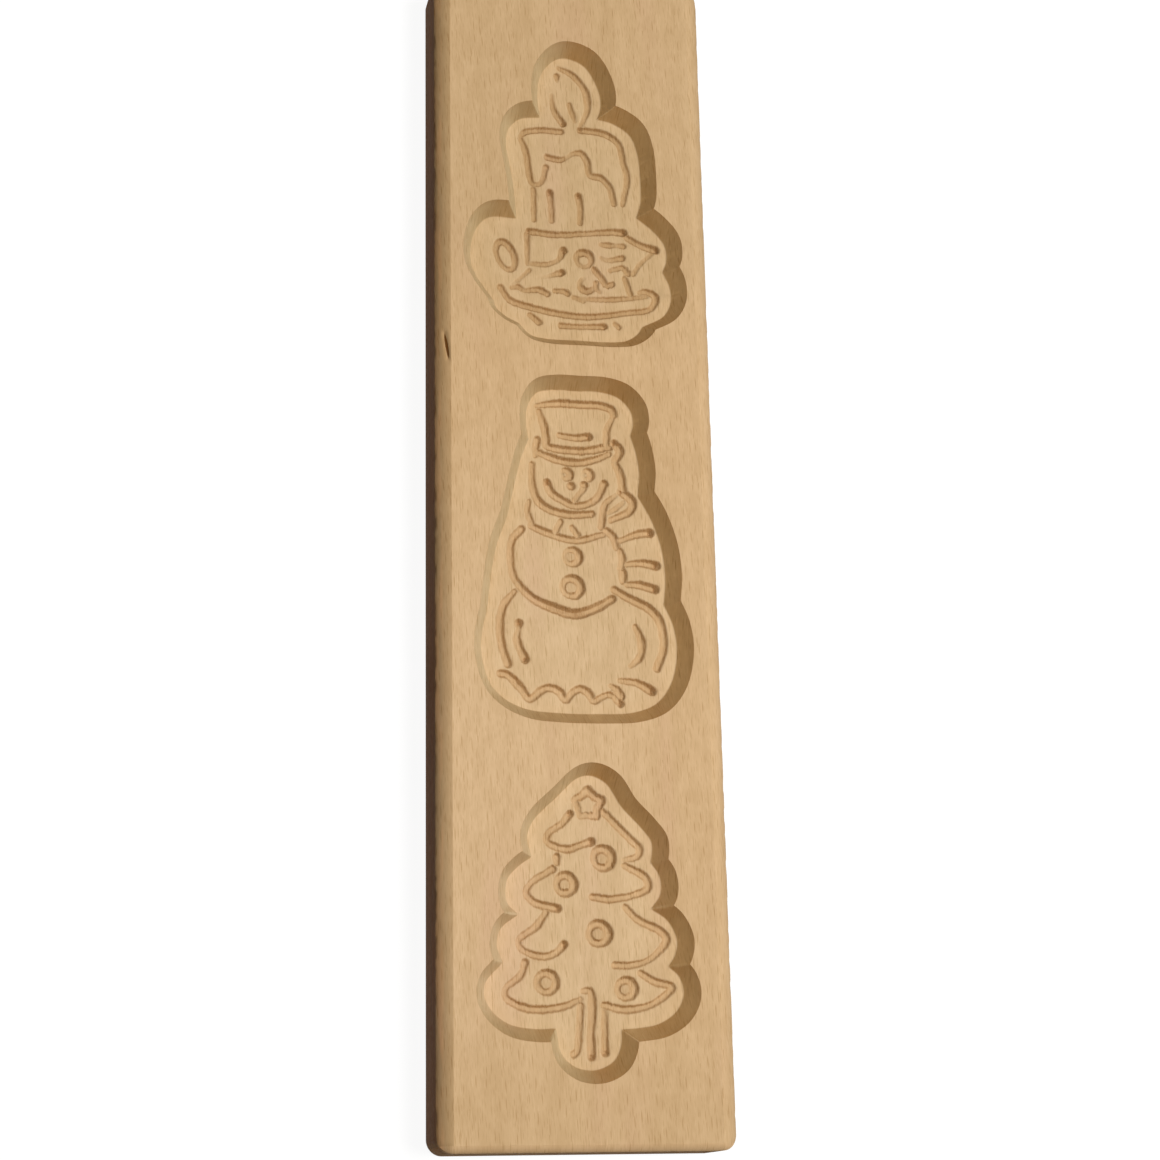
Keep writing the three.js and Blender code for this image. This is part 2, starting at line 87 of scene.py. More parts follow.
candle = {
    "at": 94.0,  # along the board, from its middle
    "depth": 0.76,  # of its lines; the third number of a point is its share of this, 1 where left out
    "dish": 0.1,  # how deep the middle of its rings is, as a share of the same depth
    "lean": (-0.4, 0),  # how far its floor lies aside of the middle of its rim
    "lobes": [  # each runs on from the end of the one before
        [(-8, 30), (-6.7, 37.3), (-1.5, 42.3), (5, 40.7), (9.3, 33), (9.7, 28), (8.6, 24.5)],
        [(13, 23.6), (17.8, 20.4), (19.9, 15), (20.6, 5), (20.4, 0), (19.1, -4.4)],
        [(23.5, -7.8), (26.8, -12), (27.3, -16.5), (26.1, -20)],
        [(28, -24.4), (28.1, -29), (26, -33), (20, -36.5)],
        [(18.6, -38.7), (15.5, -40.8), (11, -41.5), (2, -41.6), (-7, -41.6), (-11, -40.7), (-14, -37.6)],
        [(-17.5, -35.9), (-20.2, -33.5), (-20.8, -31.5)],
        [(-25, -25.6), (-26.8, -21.5), (-27, -16.5), (-25.3, -10.8), (-22, -7.5), (-14.3, -7.2)],
        [(-15, 2), (-16.3, 10), (-17, 15.5), (-16, 19.8), (-13, 22.7), (-7.3, 23.7)],
    ],
    "strokes": [
        [(-2, 39.5, 0.5), (1.5, 38), (4.5, 35, 1.1), (6, 31.5, 1.1), (6, 27, 0.9), (4, 22, 0.45)],
        [(-4, 31, 0.35), (-3.5, 26.5, 0.9), (-1, 22.5, 1.1)],  # flame, left side
        [(-2.5, 37, 0.9), (-2.5, 35.5, 0.3)],
        [(1, 28.5, 0.8), (2, 25, 0.8), (2.5, 23.5, 0.4)],  # wick
        [(-13, 17.7, 0.6), (-11.8, 19, 0.9), (-7.5, 20), (-1.5, 20, 0.9)],  # rim of the wax
        [(4, 21, 1.1), (10.5, 20.5, 1.1), (14.5, 18), (16, 12, 0.9), (17, 7.5, 0.9), (15.5, -0.5, 0.7)],
        [(-13, 17, 0.8), (-11.5, 13), (-10.5, 5.5, 0.9), (-9.5, 3.5, 0.7), (-7.5, 4, 0.6),
            (-6, 9, 0.9)],  # left side and drip
        [(-5.5, 12), (-2, 11.5), (0, 12.4, 0.3), (1.5, 13.5, 0.5), (4, 14), (5.5, 12, 1.1),
            (6.5, 7.5, 0.9), (9.5, 7, 1.1), (12, 4), (13, -0.5, 0.9)],
        [(-9.5, 2, 0.8), (-9.5, -3.5, 0.9), (-9.5, -7, 0.7)],  # streaks down the wax
        [(-5, 1.4, 1.15), (-4.7, -2, 0.85), (-4.5, -7, 0.8)],
        [(3, 1, 1.2), (3.6, -3, 0.9), (3.3, -7, 0.8)],
        [(-11, -10.5, 1.1), (-3.5, -11), (5, -10, 0.8), (12.5, -9), (15.5, -9, 1.3)],
        [(16.5, -10.5), (20.5, -12.5, 1.1), (24.5, -13.5, 1.4)],  # right holly leaf
        [(23.5, -14.5, 0.4), (20, -18, 0.5), (18, -21, 0.7)],
        [(11.5, -20.5, 0.5), (15, -19.5, 0.8), (16.5, -21)],
        [(9, -13, 0.5), (11.5, -13, 0.9), (13.5, -13, 0.4), (15.5, -13, 0.8)],
        [(9, -17, 0.35), (11, -17.5, 0.45), (15, -16.5)],
        [(-11.5, -11.5, 0.8), (-11.5, -16, 0.7), (-11.5, -20, 0.5)],  # left holly leaf
        [(-10.5, -20, 0.5), (-6.5, -20, 0.7), (-3, -18.5, 0.45), (-1.5, -15.5, 1.3)],
        [(-11, -22, 0.5), (-14, -25, 0.35), (-15.5, -26.5, 0.3)],
        [(-8.5, -24, 0.2), (-6, -23.5, 0.3), (-2, -22, 1.1)],
        [(-16, -27.5, 0.5), (-14, -27, 0.8), (-12.5, -28, 0.5), (-8.5, -27.5), (-6, -28.5)],
        [(-4, -27.5, 0.7), (-2, -27.5, 0.8), (-0.5, -28, 0.9)],
        [(1, -29, 0.5), (4, -30, 0.5)],
        [(7, -20.5), (9, -23), (10.5, -25, 0.9), (12, -24.5, 0.8)],  # leaf below the berries
        [(7.5, -24.5, 0.8), (7.5, -26, 0.7), (8.5, -27, 0.4)],
        [(15.5, -22.5, 0.8), (16.5, -25.5, 0.9), (17, -27, 0.8)],
        [(-19, -27.5, 0.9), (-16.5, -31), (-12, -32.5), (-4, -34), (4.5, -34.5), (16.5, -32.5, 0.8),
            (22.5, -31, 0.8), (24, -27.5, 1.3), (21.5, -26, 0.9), (19.5, -26.5, 0.6)],
        [(3, -29.5, 0.4), (11.5, -29, 0.8), (21.5, -27.5, 0.5)],
        [(-11, -35, 0.7), (-8.5, -37)],  # foot of the saucer
        [(-2.5, -37.5, 0.9), (3, -37.5, 0.7), (9.5, -37, 1.1)],
        [(12.5, -36, 0.6), (13.5, -37, 0.7)],
    ],
    "rings": [
        # x, y, radius, deepest at (degrees), most and least share; of an oval, other radius and tilt
        (4.2, -17.8, 2.1, 70, 1.25, 0.45),  # berries
        (5, -25, 2, -115, 1.15, 0.05),
        (-17.5, -18.2, 2.3, 60, 1.1, 0.7, 4.2, 20),  # handle
    ],
    "pits": [],  # dimples
    "torn": [(4, -21, 9, 1)],  # x, y, how far round it, how much more torn than elsewhere
}

snowman = {
    "at": -7.7,
    "depth": 0.98,
    "dish": 0.25,
    "lean": (-0.4, 0.35),
    "lobes": [
        [(-12.4, 35.5), (-11.9, 40.3), (-9.5, 44), (-5.5, 45.1), (1.5, 45.2), (8, 45.2), (12.8, 43.8),
            (16, 40.3), (16.6, 36.5), (15.8, 33.3)],
        [(17.2, 28.5), (18, 22.5), (17.4, 16.4)],
        [(21, 9.8), (23.5, 2), (24.3, -6), (23.7, -13.2)],
        [(26.1, -19), (26.9, -26), (25, -34.5), (21, -39.8), (15, -42.3), (6, -43), (-6, -43),
            (-13, -42.3), (-18.5, -40), (-22.3, -36.3), (-24.5, -30), (-24.8, -24), (-23.2, -15.8)],
        [(-22.3, -8), (-20.8, 0.5), (-17.8, 9)],
        [(-15.6, 18.5), (-13.7, 26), (-11.8, 30.8)],
    ],
    "strokes": [
        [(-9.5, 40.5, 0.5), (-4, 41.5), (2.5, 41.5), (8, 41.5), (11, 40.5), (11.5, 39, 0.8)],
        [(-9, 39, 0.6), (-7.5, 34.5), (-7, 29.5, 0.9)],
        [(11, 38, 0.5), (9.5, 34.5, 0.7), (9.5, 30, 0.9)],
        [(-3.5, 32.5, 0.6), (0.5, 32, 0.8), (4.5, 32.5, 1.1)],
        [(-6.5, 29), (-2.5, 28.5), (3.5, 28.5), (10, 30)],  # brim
        [(-9.5, 31, 0.9), (-10, 28.5, 0.8), (-10, 26.5, 0.6)],
        [(-9.5, 27.5, 0.7), (-5.5, 26), (1, 25), (7, 26.5, 0.8), (10, 28, 0.6)],
        [(11.5, 31, 1.1), (13, 29, 1.2), (11.5, 26, 0.8)],
        [(-11, 24, 0.6), (-11, 18.5, 0.8), (-9.5, 14), (-6, 11.5), (-0.5, 10.5), (5, 11, 0.8)],
        [(11.5, 25.5, 0.9), (13, 22), (13.5, 18)],
        [(3, 18, 0.6), (1, 15.5, 0.5), (0.5, 14.5, 0.7)],  # nose
        [(-7, 19, 1.1), (-6, 16.5), (-4, 15), (1, 13, 0.9), (6, 15, 0.8), (8.5, 19.5)],  # mouth
        [(-12, 13.5, 0.5), (-12.5, 11.5, 0.6), (-11, 7, 0.7)],  # scarf
        [(-11.5, 7, 0.7), (-9, 6), (-6.5, 5, 0.9), (0.5, 3.5, 0.9), (8, 5.5, 0.6)],
        [(-3.5, 8.5, 0.6), (-5, 5.5, 0.7)],
        [(-0.5, 7, 0.6), (1, 5, 0.8)],
        [(13, 17.5, 1.1), (16, 15, 1.2), (15.5, 12.5), (10, 9.5, 0.6)],  # knot
        [(11.5, 16.5, 0.3), (8.5, 13.5, 0.8), (7.5, 7.5, 0.9)],
        [(9, 6.5, 0.8), (10.5, 5), (11.5, 2, 0.7)],  # end of the scarf, with its stripes
        [(12.5, 4, 0.5), (17.5, 6, 0.9), (20.5, 6.5, 1.1)],
        [(12.5, 1, 0.8), (13, -1, 0.9), (12.5, -3.5, 0.8)],
        [(13, -4.5, 0.9), (13, -7, 0.9)],
        [(14, -2.5, 0.5), (18, -2, 0.9), (22, -2.5, 1.2)],
        [(14, -8, 0.6), (17.5, -8), (21.5, -9, 1.2)],
        [(-14, 6, 0.9), (-16.5, 3, 0.9), (-17, -2.5, 0.8), (-16, -7.5, 0.85), (-11.5, -12.5, 1.1),
            (-6, -15, 1.3), (0, -16.5, 1.4), (6, -14.5, 1.2), (10, -12)],  # belly
        [(10.5, -9.5, 0.9), (14, -11.5, 1.1), (20, -14.5, 1.1), (22.5, -17.5, 1.1), (23.5, -24.5),
            (21.5, -30.5, 0.8)],  # lower body
        [(-16, -11, 0.6), (-19, -15, 0.9), (-20, -20), (-19.5, -25.5), (-18, -30.5)],
        [(-15, -19.5, 1.1), (-15.1, -21, 0.4), (-15.5, -24, 0.9), (-13.5, -29, 1.2)],
        [(16, -19.5, 0.7), (17.5, -23), (17, -27.5, 0.9), (14.5, -30, 0.4)],
        [(-20, -33, 0.8), (-18, -33.5), (-14.5, -37, 1.1), (-12.5, -39.5, 0.8), (-9, -37, 0.9),
            (-7, -36.5, 0.9), (-4.5, -37.5, 1.1), (-3, -39.5, 0.8), (-1, -37.5, 0.8), (1, -36.5, 0.9),
            (3, -37.5, 1.1), (4.5, -39.5, 0.8), (7.5, -38, 0.6), (9.5, -38, 0.8), (11.5, -40, 1.1)],
        [(11.5, -34, 0.5), (16, -34.5, 0.9), (20, -36.5, 1.2)],
        [(13.5, 14.5, 0.3), (11.5, 12.8, 0.5), (9.5, 11.5, 0.3)],  # fold in the knot
        [(9, -35.5, 0.4), (10.5, -36.3, 0.8), (11.8, -38.2, 0.9)],
    ],
    "rings": [
        (-0.7, -1, 1.9, 0, 1.2, 0.35),  # buttons
        (-0.8, -9.3, 2.35, 20, 1.35, 0.7),
        (-1.9, 21.6, 1.15, 10, 1, 0.2),  # eyes
        (3.8, 21.7, 1.15, 10, 1, 0.2),
    ],
    "pits": [(-0.5, 18.5), (3, 19)],
    "torn": [(10, -37, 3, 1.2), (-12, 11, 3, 0.8), (7, 29, 4, 0.6), (-0.8, -9.3, 2, 1.2),
        (-0.7, -1, 2, 0.8)],
}

fir = {
    "at": -105.0,
    "depth": 0.82,
    "dish": 0.3,
    "lean": (-0.4, 0.5),
    "lobes": [
        [(-13.5, 22), (-11.8, 26.2), (-6, 32), (-0.3, 37.2), (3, 37.9), (7, 36), (11, 30), (16, 24.7),
            (18.6, 21), (18.3, 15.8)],
        [(20.4, 12.5), (20.6, 8), (18, 4.1)],
        [(22.2, 1.2), (24.5, -3.5), (24, -7.3), (22.1, -10.3)],
        [(24.8, -12.8), (25.9, -17), (24, -21.3), (19.5, -24.4), (14, -25.5), (9.7, -25.8)],
        [(9.4, -30), (7.5, -33.6), (3, -35.7), (-2, -35), (-5.5, -31.8), (-6.8, -25.6)],
        [(-12.5, -25.7), (-18.5, -24.6), (-22.5, -21.8), (-24.7, -18), (-24.4, -14.5), (-20, -9.5)],
        [(-21.5, -5), (-20.3, -1), (-15.9, 2.4)],
        [(-18.6, 5), (-19.2, 8), (-18.6, 11.3), (-16.5, 13.9), (-12.4, 16.9)],
    ],
    "strokes": [
        [(-2.5, 28, 1.1), (-4.5, 25.5, 0.8), (-8, 23, 0.8), (-8.5, 21, 0.8), (-6, 19.5), (-3, 19),
            (0, 20, 0.9), (3, 21, 1.2)],  # branches
        [(6.5, 28.5, 0.9), (10, 25), (13.5, 21.5), (15.5, 19.5), (15, 17.5, 0.9), (11.5, 16.5, 0.4)],
        [(-6, 17), (-6, 15.5, 0.8)],
        [(-7, 14, 0.9), (-13, 10, 0.7), (-14, 8, 0.8), (-12, 5.5), (-6, 4, 1.2)],
        [(11.5, 15, 0.8), (17, 12, 1.1), (17.5, 9.5, 1.1), (13.5, 7.5, 0.8), (7.5, 6.5), (3, 7, 0.9)],
        [(-9, 3, 0.8), (-11.5, -0.5), (-16, -4, 0.7), (-15.5, -6, 0.7), (-10, -8), (-6.5, -7, 0.9),
            (-4.5, -5, 1.1)],
        [(11.5, 4.5, 0.9), (14.5, 1.5), (20.5, -1.5, 1.1), (22, -3.5, 1.1), (17.5, -8.5, 0.6),
            (12.5, -10, 0.9), (8.5, -10, 0.9)],
        [(-14.5, -9.5), (-15.5, -12.5, 0.9), (-19.5, -16, 0.6), (-19.5, -18, 0.8), (-15, -20.5),
            (-9.5, -21, 1.05), (-4, -20, 0.9), (-0.5, -18.5, 0.5)],
        [(15, -12, 0.8), (18.5, -14), (23, -15.5, 1.1), (20.5, -18, 0.9), (17, -20, 0.8), (11, -21),
            (5.5, -20, 0.9)],
        [(-0.5, -20, 0.8), (-1, -26, 0.8), (-1.5, -31, 0.8), (-2.5, -32, 0.9)],  # trunk
        [(0, -16.5, 0.5), (2, -16.5), (2.5, -20), (2, -27), (2, -32.5, 1.2)],
        [(5.5, -21.5, 0.7), (5.5, -26, 0.8), (5.5, -31.5, 1.1)],
    ],
    "rings": [
        (5.9, 16.8, 2.35, 20, 1.5, 1),  # baubles
        (-3.9, 10.1, 2.2, 20, 1.4, 0.95),
        (4.5, -2.2, 2.4, 20, 1.5, 1),
        (-9.1, -14.4, 2.3, 40, 1.35, 0.9),
        (11.2, -15.9, 2.1, 30, 1.3, 0.9),
    ],
    "pits": [],
    "torn": [(2.5, 30.4, 4.5, 1.4), (-1.5, -26, 4, 1), (5.5, -20, 3, 0.8)],
}
fir["torn"] += [(*ring[:2], 1.5, 1.2) for ring in fir["rings"]]  # the middles of the baubles are torn too

star = {
    "at": (2.3, 30.5),   # from the middle of the tree
    "outer": 3.7,
    "inner": 2.75,
    "points": 5,
    "deepAt": 45,        # degrees, the side on which its line is deepest
    "most": 1.35,        # share of the tree's depth there
    "least": 0.6,        # and on the other side
}

figures = {"candle": candle, "snowman": snowman, "tree": fir}


# Curves

def smoothRun(points, step):
    # evenly spaced points along a centripetal Catmull-Rom curve
    # the share of the depth changes evenly from each given point to the next
    knots = np.array([(*point, 1)[:3] for point in points], float)
    p = knots[:, :2]
    p = np.vstack([2 * p[0] - p[1], p, 2 * p[-1] - p[-2]])
    parts = 24
    pieces = []
    for p0, p1, p2, p3 in zip(p, p[1:], p[2:], p[3:]):
        d0, d1, d2 = [max(np.linalg.norm(b - a), 1e-6) ** 0.5 for a, b in ((p0, p1), (p1, p2), (p2, p3))]
        t1 = ((p1 - p0) / d0 - (p2 - p0) / (d0 + d1) + (p2 - p1) / d1) * d1
        t2 = ((p2 - p1) / d1 - (p3 - p1) / (d1 + d2) + (p3 - p2) / d2) * d1
        t = np.linspace(0, 1, parts, endpoint=False)[:, None]
        pieces.append(p1 + t1 * t + (3 * (p2 - p1) - 2 * t1 - t2) * t**2 + (2 * (p1 - p2) + t1 + t2) * t**3)
    fine = np.vstack(pieces + [p[-2:-1]])
    along = np.concatenate([[0], np.cumsum(np.linalg.norm(np.diff(fine, axis=0), axis=1))])
    count = max(2, int(math.ceil(along[-1] / step)) + 1)
    stops = np.linspace(0, along[-1], count)
    run = [np.interp(stops, along, fine[:, 0]), np.interp(stops, along, fine[:, 1])]
    return np.column_stack([*run, np.interp(stops, along[::parts], knots[:, 2])])


def shareAround(angle, deepAt, most, least):
    return (most + least) / 2 + (most - least) / 2 * np.cos(angle - math.radians(deepAt))


def ringRun(x, y, radius, deepAt, most, least, length=None, tilt=0, steps=32):
    a = np.linspace(0, 2 * math.pi, steps + 1)
    u, v = radius * np.cos(a), (length or radius) * np.sin(a)
    t = math.radians(tilt)
    share = shareAround(a + t, deepAt, most, least)
    turnedX, turnedY = u * math.cos(t) - v * math.sin(t), u * math.sin(t) + v * math.cos(t)
    return np.column_stack([x + turnedX, y + turnedY, share])


def starRun():
    run = []
    for k in range(2 * star["points"] + 1):
        radius = star["inner"] if k % 2 else star["outer"]
        a = math.pi / 2 - math.pi / star["points"] * k
        share = shareAround(a, star["deepAt"], star["most"], star["least"])
        run.append((star["at"][0] + radius * math.cos(a), star["at"][1] + radius * math.sin(a), share))
    return np.array(run)


# The carved face as a field of heights

halfWidth = boardWidth / 2 - board["cornerRadius"]
halfLength = boardLength / 2 - board["cornerRadius"]
stride = board["stride"]
columns = stride * round(2 * halfWidth / board["gridStep"] / stride) + 1
rows = stride * round(2 * halfLength / board["gridStep"] / stride) + 1
gridX = np.linspace(-halfWidth, halfWidth, columns)
gridY = np.linspace(-halfLength, halfLength, rows)
placeX, placeY = np.meshgrid(gridX, gridY)
floorZ = boardThickness - carving["cavityDepth"]
random = np.random.default_rng(carving["seed"])


def softNoise(x, y, cellX, cellY, seed):
    # smooth random numbers from -1 to 1, one to each cell
    wide, tall = 251, 257
    table = np.random.default_rng(seed).uniform(-1, 1, (wide, tall))
    u, v = x / cellX + 1000, y / cellY + 1000
    i, j = np.floor(u).astype(int), np.floor(v).astype(int)
    fu, fv = u - i, v - j
    fu, fv = fu * fu * (3 - 2 * fu), fv * fv * (3 - 2 * fv)
    i0, i1, j0, j1 = i % wide, (i + 1) % wide, j % tall, (j + 1) % tall
    near = table[i0, j0] * (1 - fu) + table[i1, j0] * fu
    far = table[i0, j1] * (1 - fu) + table[i1, j1] * fu
    return near * (1 - fv) + far * fv


def smoothMin(a, b, blend):
    share = np.clip(0.5 + 0.5 * (b - a) / blend, 0, 1)
    return b * (1 - share) + a * share - blend * share * (1 - share)


def smoothMax(a, b, blend):
    return -smoothMin(-a, -b, blend)


def windowOf(run, reach):
    # the rows and columns of the grid that lie within reach of a run
    c0, c1 = np.searchsorted(gridX, (run[:, 0].min() - reach, run[:, 0].max() + reach))
    r0, r1 = np.searchsorted(gridY, (run[:, 1].min() - reach, run[:, 1].max() + reach))
    return slice(r0, r1), slice(c0, c1)


def nearRun(run, x, y, reach):
    # for the grid points near a run: distance, place along it, share of the depth,
    # and how much it crosses the grain
    window = windowOf(run, reach)
    firstRow, firstColumn = window[0].start, window[1].start
    x, y = x[window], y[window]
    distance = np.full(x.shape, reach + 1.0)
    along, share, across = np.zeros(x.shape), np.ones(x.shape), np.zeros(x.shape)
    done = 0.0
    for a, b in zip(run, run[1:]):
        dx, dy = b[0] - a[0], b[1] - a[1]
        size = math.hypot(dx, dy)
        if size < 1e-6:
            continue
        tall, wide = windowOf(np.array([a, b]), reach)
        spot = (slice(tall.start - firstRow, tall.stop - firstRow),
                slice(wide.start - firstColumn, wide.stop - firstColumn))
        px, py = x[spot] - a[0], y[spot] - a[1]
        t = np.clip((px * dx + py * dy) / size**2, 0, 1)
        d = np.hypot(px - t * dx, py - t * dy)
        nearer = d < distance[spot]
        distance[spot][nearer] = d[nearer]
        along[spot][nearer] = done + (t * size)[nearer]
        across[spot][nearer] = abs(dx) / size
        if len(a) > 2:
            share[spot][nearer] = (a[2] + t * (b[2] - a[2]))[nearer]
        done += size
    return window, distance, along, share, across


def insideOf(outline):
    # grid points inside a closed outline, by counting its crossings along each row
    flips = np.zeros((rows, columns + 1), int)
    for a, b in zip(outline, np.roll(outline, -1, axis=0)):
        if a[1] > b[1]:
            a, b = b, a
        r0, r1 = np.searchsorted(gridY, (a[1], b[1]))
        if r1 > r0:
            x = a[0] + (b[0] - a[0]) * (gridY[r0:r1] - a[1]) / (b[1] - a[1])
            np.add.at(flips, (np.arange(r0, r1), np.searchsorted(gridX, x)), 1)
    return np.cumsum(flips, axis=1)[:, :columns] % 2 == 1


def distanceOut(figure, lean=(0, 0)):
    # distance from the edge of a cavity's floor, less than nothing inside it
    lobes = figure["lobes"]
    outline = [smoothRun([lobes[k - 1][-1], *lobe], 0.4)[:-1, :2] for k, lobe in enumerate(lobes)]
    outline = np.vstack(outline) + (lean[0], figure["at"] + lean[1])
    closed = np.vstack([outline, outline[:1]])
    reach = carving["wallRun"] + 1.5
    window, distance = nearRun(closed, placeX, placeY, reach)[:2]
    signed = np.full(placeX.shape, reach + 1.0)
    signed[window] = distance
    return np.where(insideOf(outline), -signed, signed)


def moveToRim(out):
    # grid points beside a cavity's rim are moved onto it, so that the rim is a clean line
    step = board["gridStep"]
    slopeY, slopeX = np.gradient(out, gridY, gridX)
    size = np.maximum(np.hypot(slopeX, slopeY), 0.5)
    away = carving["wallRun"] - out
    near = np.abs(away) < 0.55 * step
    placeX[near] += (away * slopeX / size**2)[near]
    placeY[near] += (away * slopeY / size**2)[near]
    out[near] = carving["wallRun"]


def lineField(run, depth, warpX, warpY):
    # height of one engraved line, and where fibres are left standing beside it
    tip, slope, soft = carving["tip"], carving["slope"], carving["tipSoft"]
    reach = tip + 1.8 * depth / slope + 1.5
    window, distance, along, share, across = nearRun(run, warpX, warpY, reach)
    waver = softNoise(along, along * 0 + random.uniform(0, 90), 1.7, 5.0, 21)
    here = depth * share * (1 + carving["waver"] * waver)
    isRing = math.dist(run[0], run[-1]) < 0.01
    for end in () if isRing else (run[0], run[-1]):
        if end[2] > carving["plungeShare"]:
            spot = np.hypot(warpX[window] - end[0], warpY[window] - end[1])
            here = here + carving["plunge"] * np.exp(-((spot / carving["plungeWide"]) ** 2))
    beyond = np.sqrt(np.maximum(distance - tip, 0) ** 2 + soft**2) - soft
    cut = floorZ - here + slope * beyond
    beside = distance - tip - np.sqrt((here / slope + soft) ** 2 - soft**2)
    standing = np.exp(-(((beside - 0.14) / 0.2) ** 2)) * (0.3 + 0.7 * across) * np.clip(share, 0, 1)
    lost = distance > reach
    return window, np.where(lost, boardThickness, cut), np.where(lost, 0, standing)


def carve():
    face = np.full((rows, columns), boardThickness)
    outs, feet = [], []
    for figure in figures.values():
        outs.append(distanceOut(figure))
        moveToRim(outs[-1])
        feet.append(distanceOut(figure, figure["lean"]))
    rough = np.ones(face.shape)
    for figure in figures.values():
        for x, y, radius, more in figure["torn"]:
            away = (placeX - x) ** 2 + (placeY - y - figure["at"]) ** 2
            rough = rough + more * np.exp(-away / radius**2)
    # fibres run along the board, so what is torn is long in y and thin in x
    tear = carving["tear"] * rough
    sway = softNoise(placeX, placeY, 0.5, 1.6, 3) + 0.5 * softNoise(placeX, placeY, 0.3, 0.7, 4)
    warpX = placeX + tear * sway
    warpY = placeY + 1.3 * tear * softNoise(placeX, placeY, 0.33, 1.1, 5)
    fibres = softNoise(placeX, placeY, 0.45, 1.5, 6) + 0.5 * softNoise(placeX, placeY, 0.4, 0.7, 8)
    lines = np.full(face.shape, boardThickness)
    standing = np.zeros(face.shape)
    for (name, figure), out, foot in zip(figures.items(), outs, feet):
        at = (figure["lean"][0], figure["at"] + figure["lean"][1], 0)
        toRim = np.maximum(carving["wallRun"] - out, 0)
        wall = floorZ + carving["cavityDepth"] * foot / np.maximum(foot + toRim, 0.1)
        cavity = smoothMax(np.full(wall.shape, floorZ), wall, carving["footSoft"])
        face = np.minimum(face, cavity)
        cuts = [smoothRun(points, 0.5) for points in figure["strokes"]]
        cuts += [ringRun(*ring) for ring in figure["rings"]]
        cuts += [np.array([(x, y, 1), (x + 0.05, y, 1)]) for x, y in figure["pits"]]
        if figure is fir:
            cuts.append(starRun())
        for run in cuts:
            window, cut, up = lineField(run + at, figure["depth"], warpX, warpY)
            lines[window] = np.minimum(lines[window], cut)
            standing[window] = np.maximum(standing[window], up)
        dishZ = floorZ - figure["dish"] * figure["depth"]
        for ring in figure["rings"]:
            x, y, radius = ring[:3]
            if radius > carving["smallRing"]:
                inRing = np.hypot(warpX - x - at[0], warpY - y - at[1]) < radius
                lines = np.where(inRing, np.minimum(lines, dishZ), lines)
        print("carved the", name, "with", len(cuts), "lines")
    inLine = np.clip((floorZ - lines) / 0.3, 0, 1)
    lines = lines + carving["fibre"] * fibres * inLine * rough**1.5
    inCavity = face < floorZ + 0.3
    left = np.maximum(fibres - 0.15, 0) * standing * np.minimum(rough, 1.8)
    pitted = np.minimum(fibres + 0.2, 0) * np.clip(rough - 1.3, 0, 1)
    face = face + np.where(inCavity, carving["fuzz"] * left + carving["pitted"] * pitted, 0)
    return np.where(inCavity, smoothMin(face, lines, 0.1), face)


# The board's mesh: carved grid, rings over the edges, and a plain back

def edgeArc():
    # how far out from the corner centres the flat face ends, in x and in y,
    # how high the upright side begins, and the arc's angles
    start, end = math.radians(board["edgeStart"]), math.radians(board["edgeEnd"])
    wide = board["edgeRadius"] * (math.sin(end) - math.sin(start))
    flatTo = np.array([board["cornerRadius"] - wide, board["cornerRadius"] - wide * board["endArc"]])
    sideTop = boardThickness - board["edgeRadius"] * (math.cos(start) - math.cos(end))
    return flatTo, sideTop, start, end


def edgeProfile():
    # how far out from the corner centres and how high each ring lies, along the sides and across the ends
    radius, arc, ease = board["cornerRadius"], board["edgeRadius"], board["backEase"]
    flatTo, sideTop, start, end = edgeArc()
    profile = [(out, (boardThickness, boardThickness)) for out in np.linspace((0, 0), flatTo, 4)[1:]]
    for a in np.linspace(start, end, 13)[1:]:
        share = (math.sin(a) - math.sin(start)) / (math.sin(end) - math.sin(start))
        drop = arc * (math.cos(start) - math.cos(a))
        heights = (boardThickness - drop, boardThickness - drop * board["endArc"])
        profile.append((flatTo + (radius - flatTo) * share, heights))
    endTop = boardThickness - (boardThickness - sideTop) * board["endArc"]
    sides = [(radius, z) for z in np.linspace((sideTop, endTop), (ease, ease), 7)[1:]]
    for t in np.linspace(0, math.pi / 2, 5)[1:]:
        sides.append((radius - ease + ease * math.cos(t), (ease - ease * math.sin(t),) * 2))
    sides += [(out, (0.0, 0.0)) for out in np.linspace(radius - ease, 0, 5)[1:-1]]
    return profile + [((out, out), z) for out, z in sides]


def ringOf(out, z, xs, ys):
    # one ring round the board; each corner is an arc about the grid's own corner
    corners = ((1, -1, -90), (1, 1, 0), (-1, 1, 90), (-1, -1, 180))
    sides = (
        [(x, -halfLength - out[1], z[1]) for x in xs],
        [(halfWidth + out[0], y, z[0]) for y in ys],
        [(x, halfLength + out[1], z[1]) for x in xs[::-1]],
        [(-halfWidth - out[0], y, z[0]) for y in ys[::-1]],
    )
    ring = []
    for side, (sx, sy, start) in zip(sides, corners):
        ring += side
        for k in range(1, board["cornerSteps"]):
            a = math.radians(start + 90 * k / board["cornerSteps"])
            c, s = math.cos(a), math.sin(a)
            height = z[0] * c * c + z[1] * s * s
            ring.append((sx * halfWidth + out[0] * c, sy * halfLength + out[1] * s, height))
    return ring


def outFrom(points):
    # nearest point of the corner centres' rectangle, direction and distance from it,
    # and the distance at which the flat face ends in that direction
    nearest = np.clip(points[:, :2], (-halfWidth, -halfLength), (halfWidth, halfLength))
    out = points[:, :2] - nearest
    far = np.hypot(out[:, 0], out[:, 1])
    out = out / np.maximum(far, 1e-6)[:, None]
    flat = 1 / np.maximum(np.linalg.norm(out / edgeArc()[0], axis=1), 1e-6)
    return nearest, out, far, flat


def arcShare(out):
    # size of the arc in a direction, smaller across the ends
    return out[:, 0] ** 2 + board["endArc"] * out[:, 1] ** 2


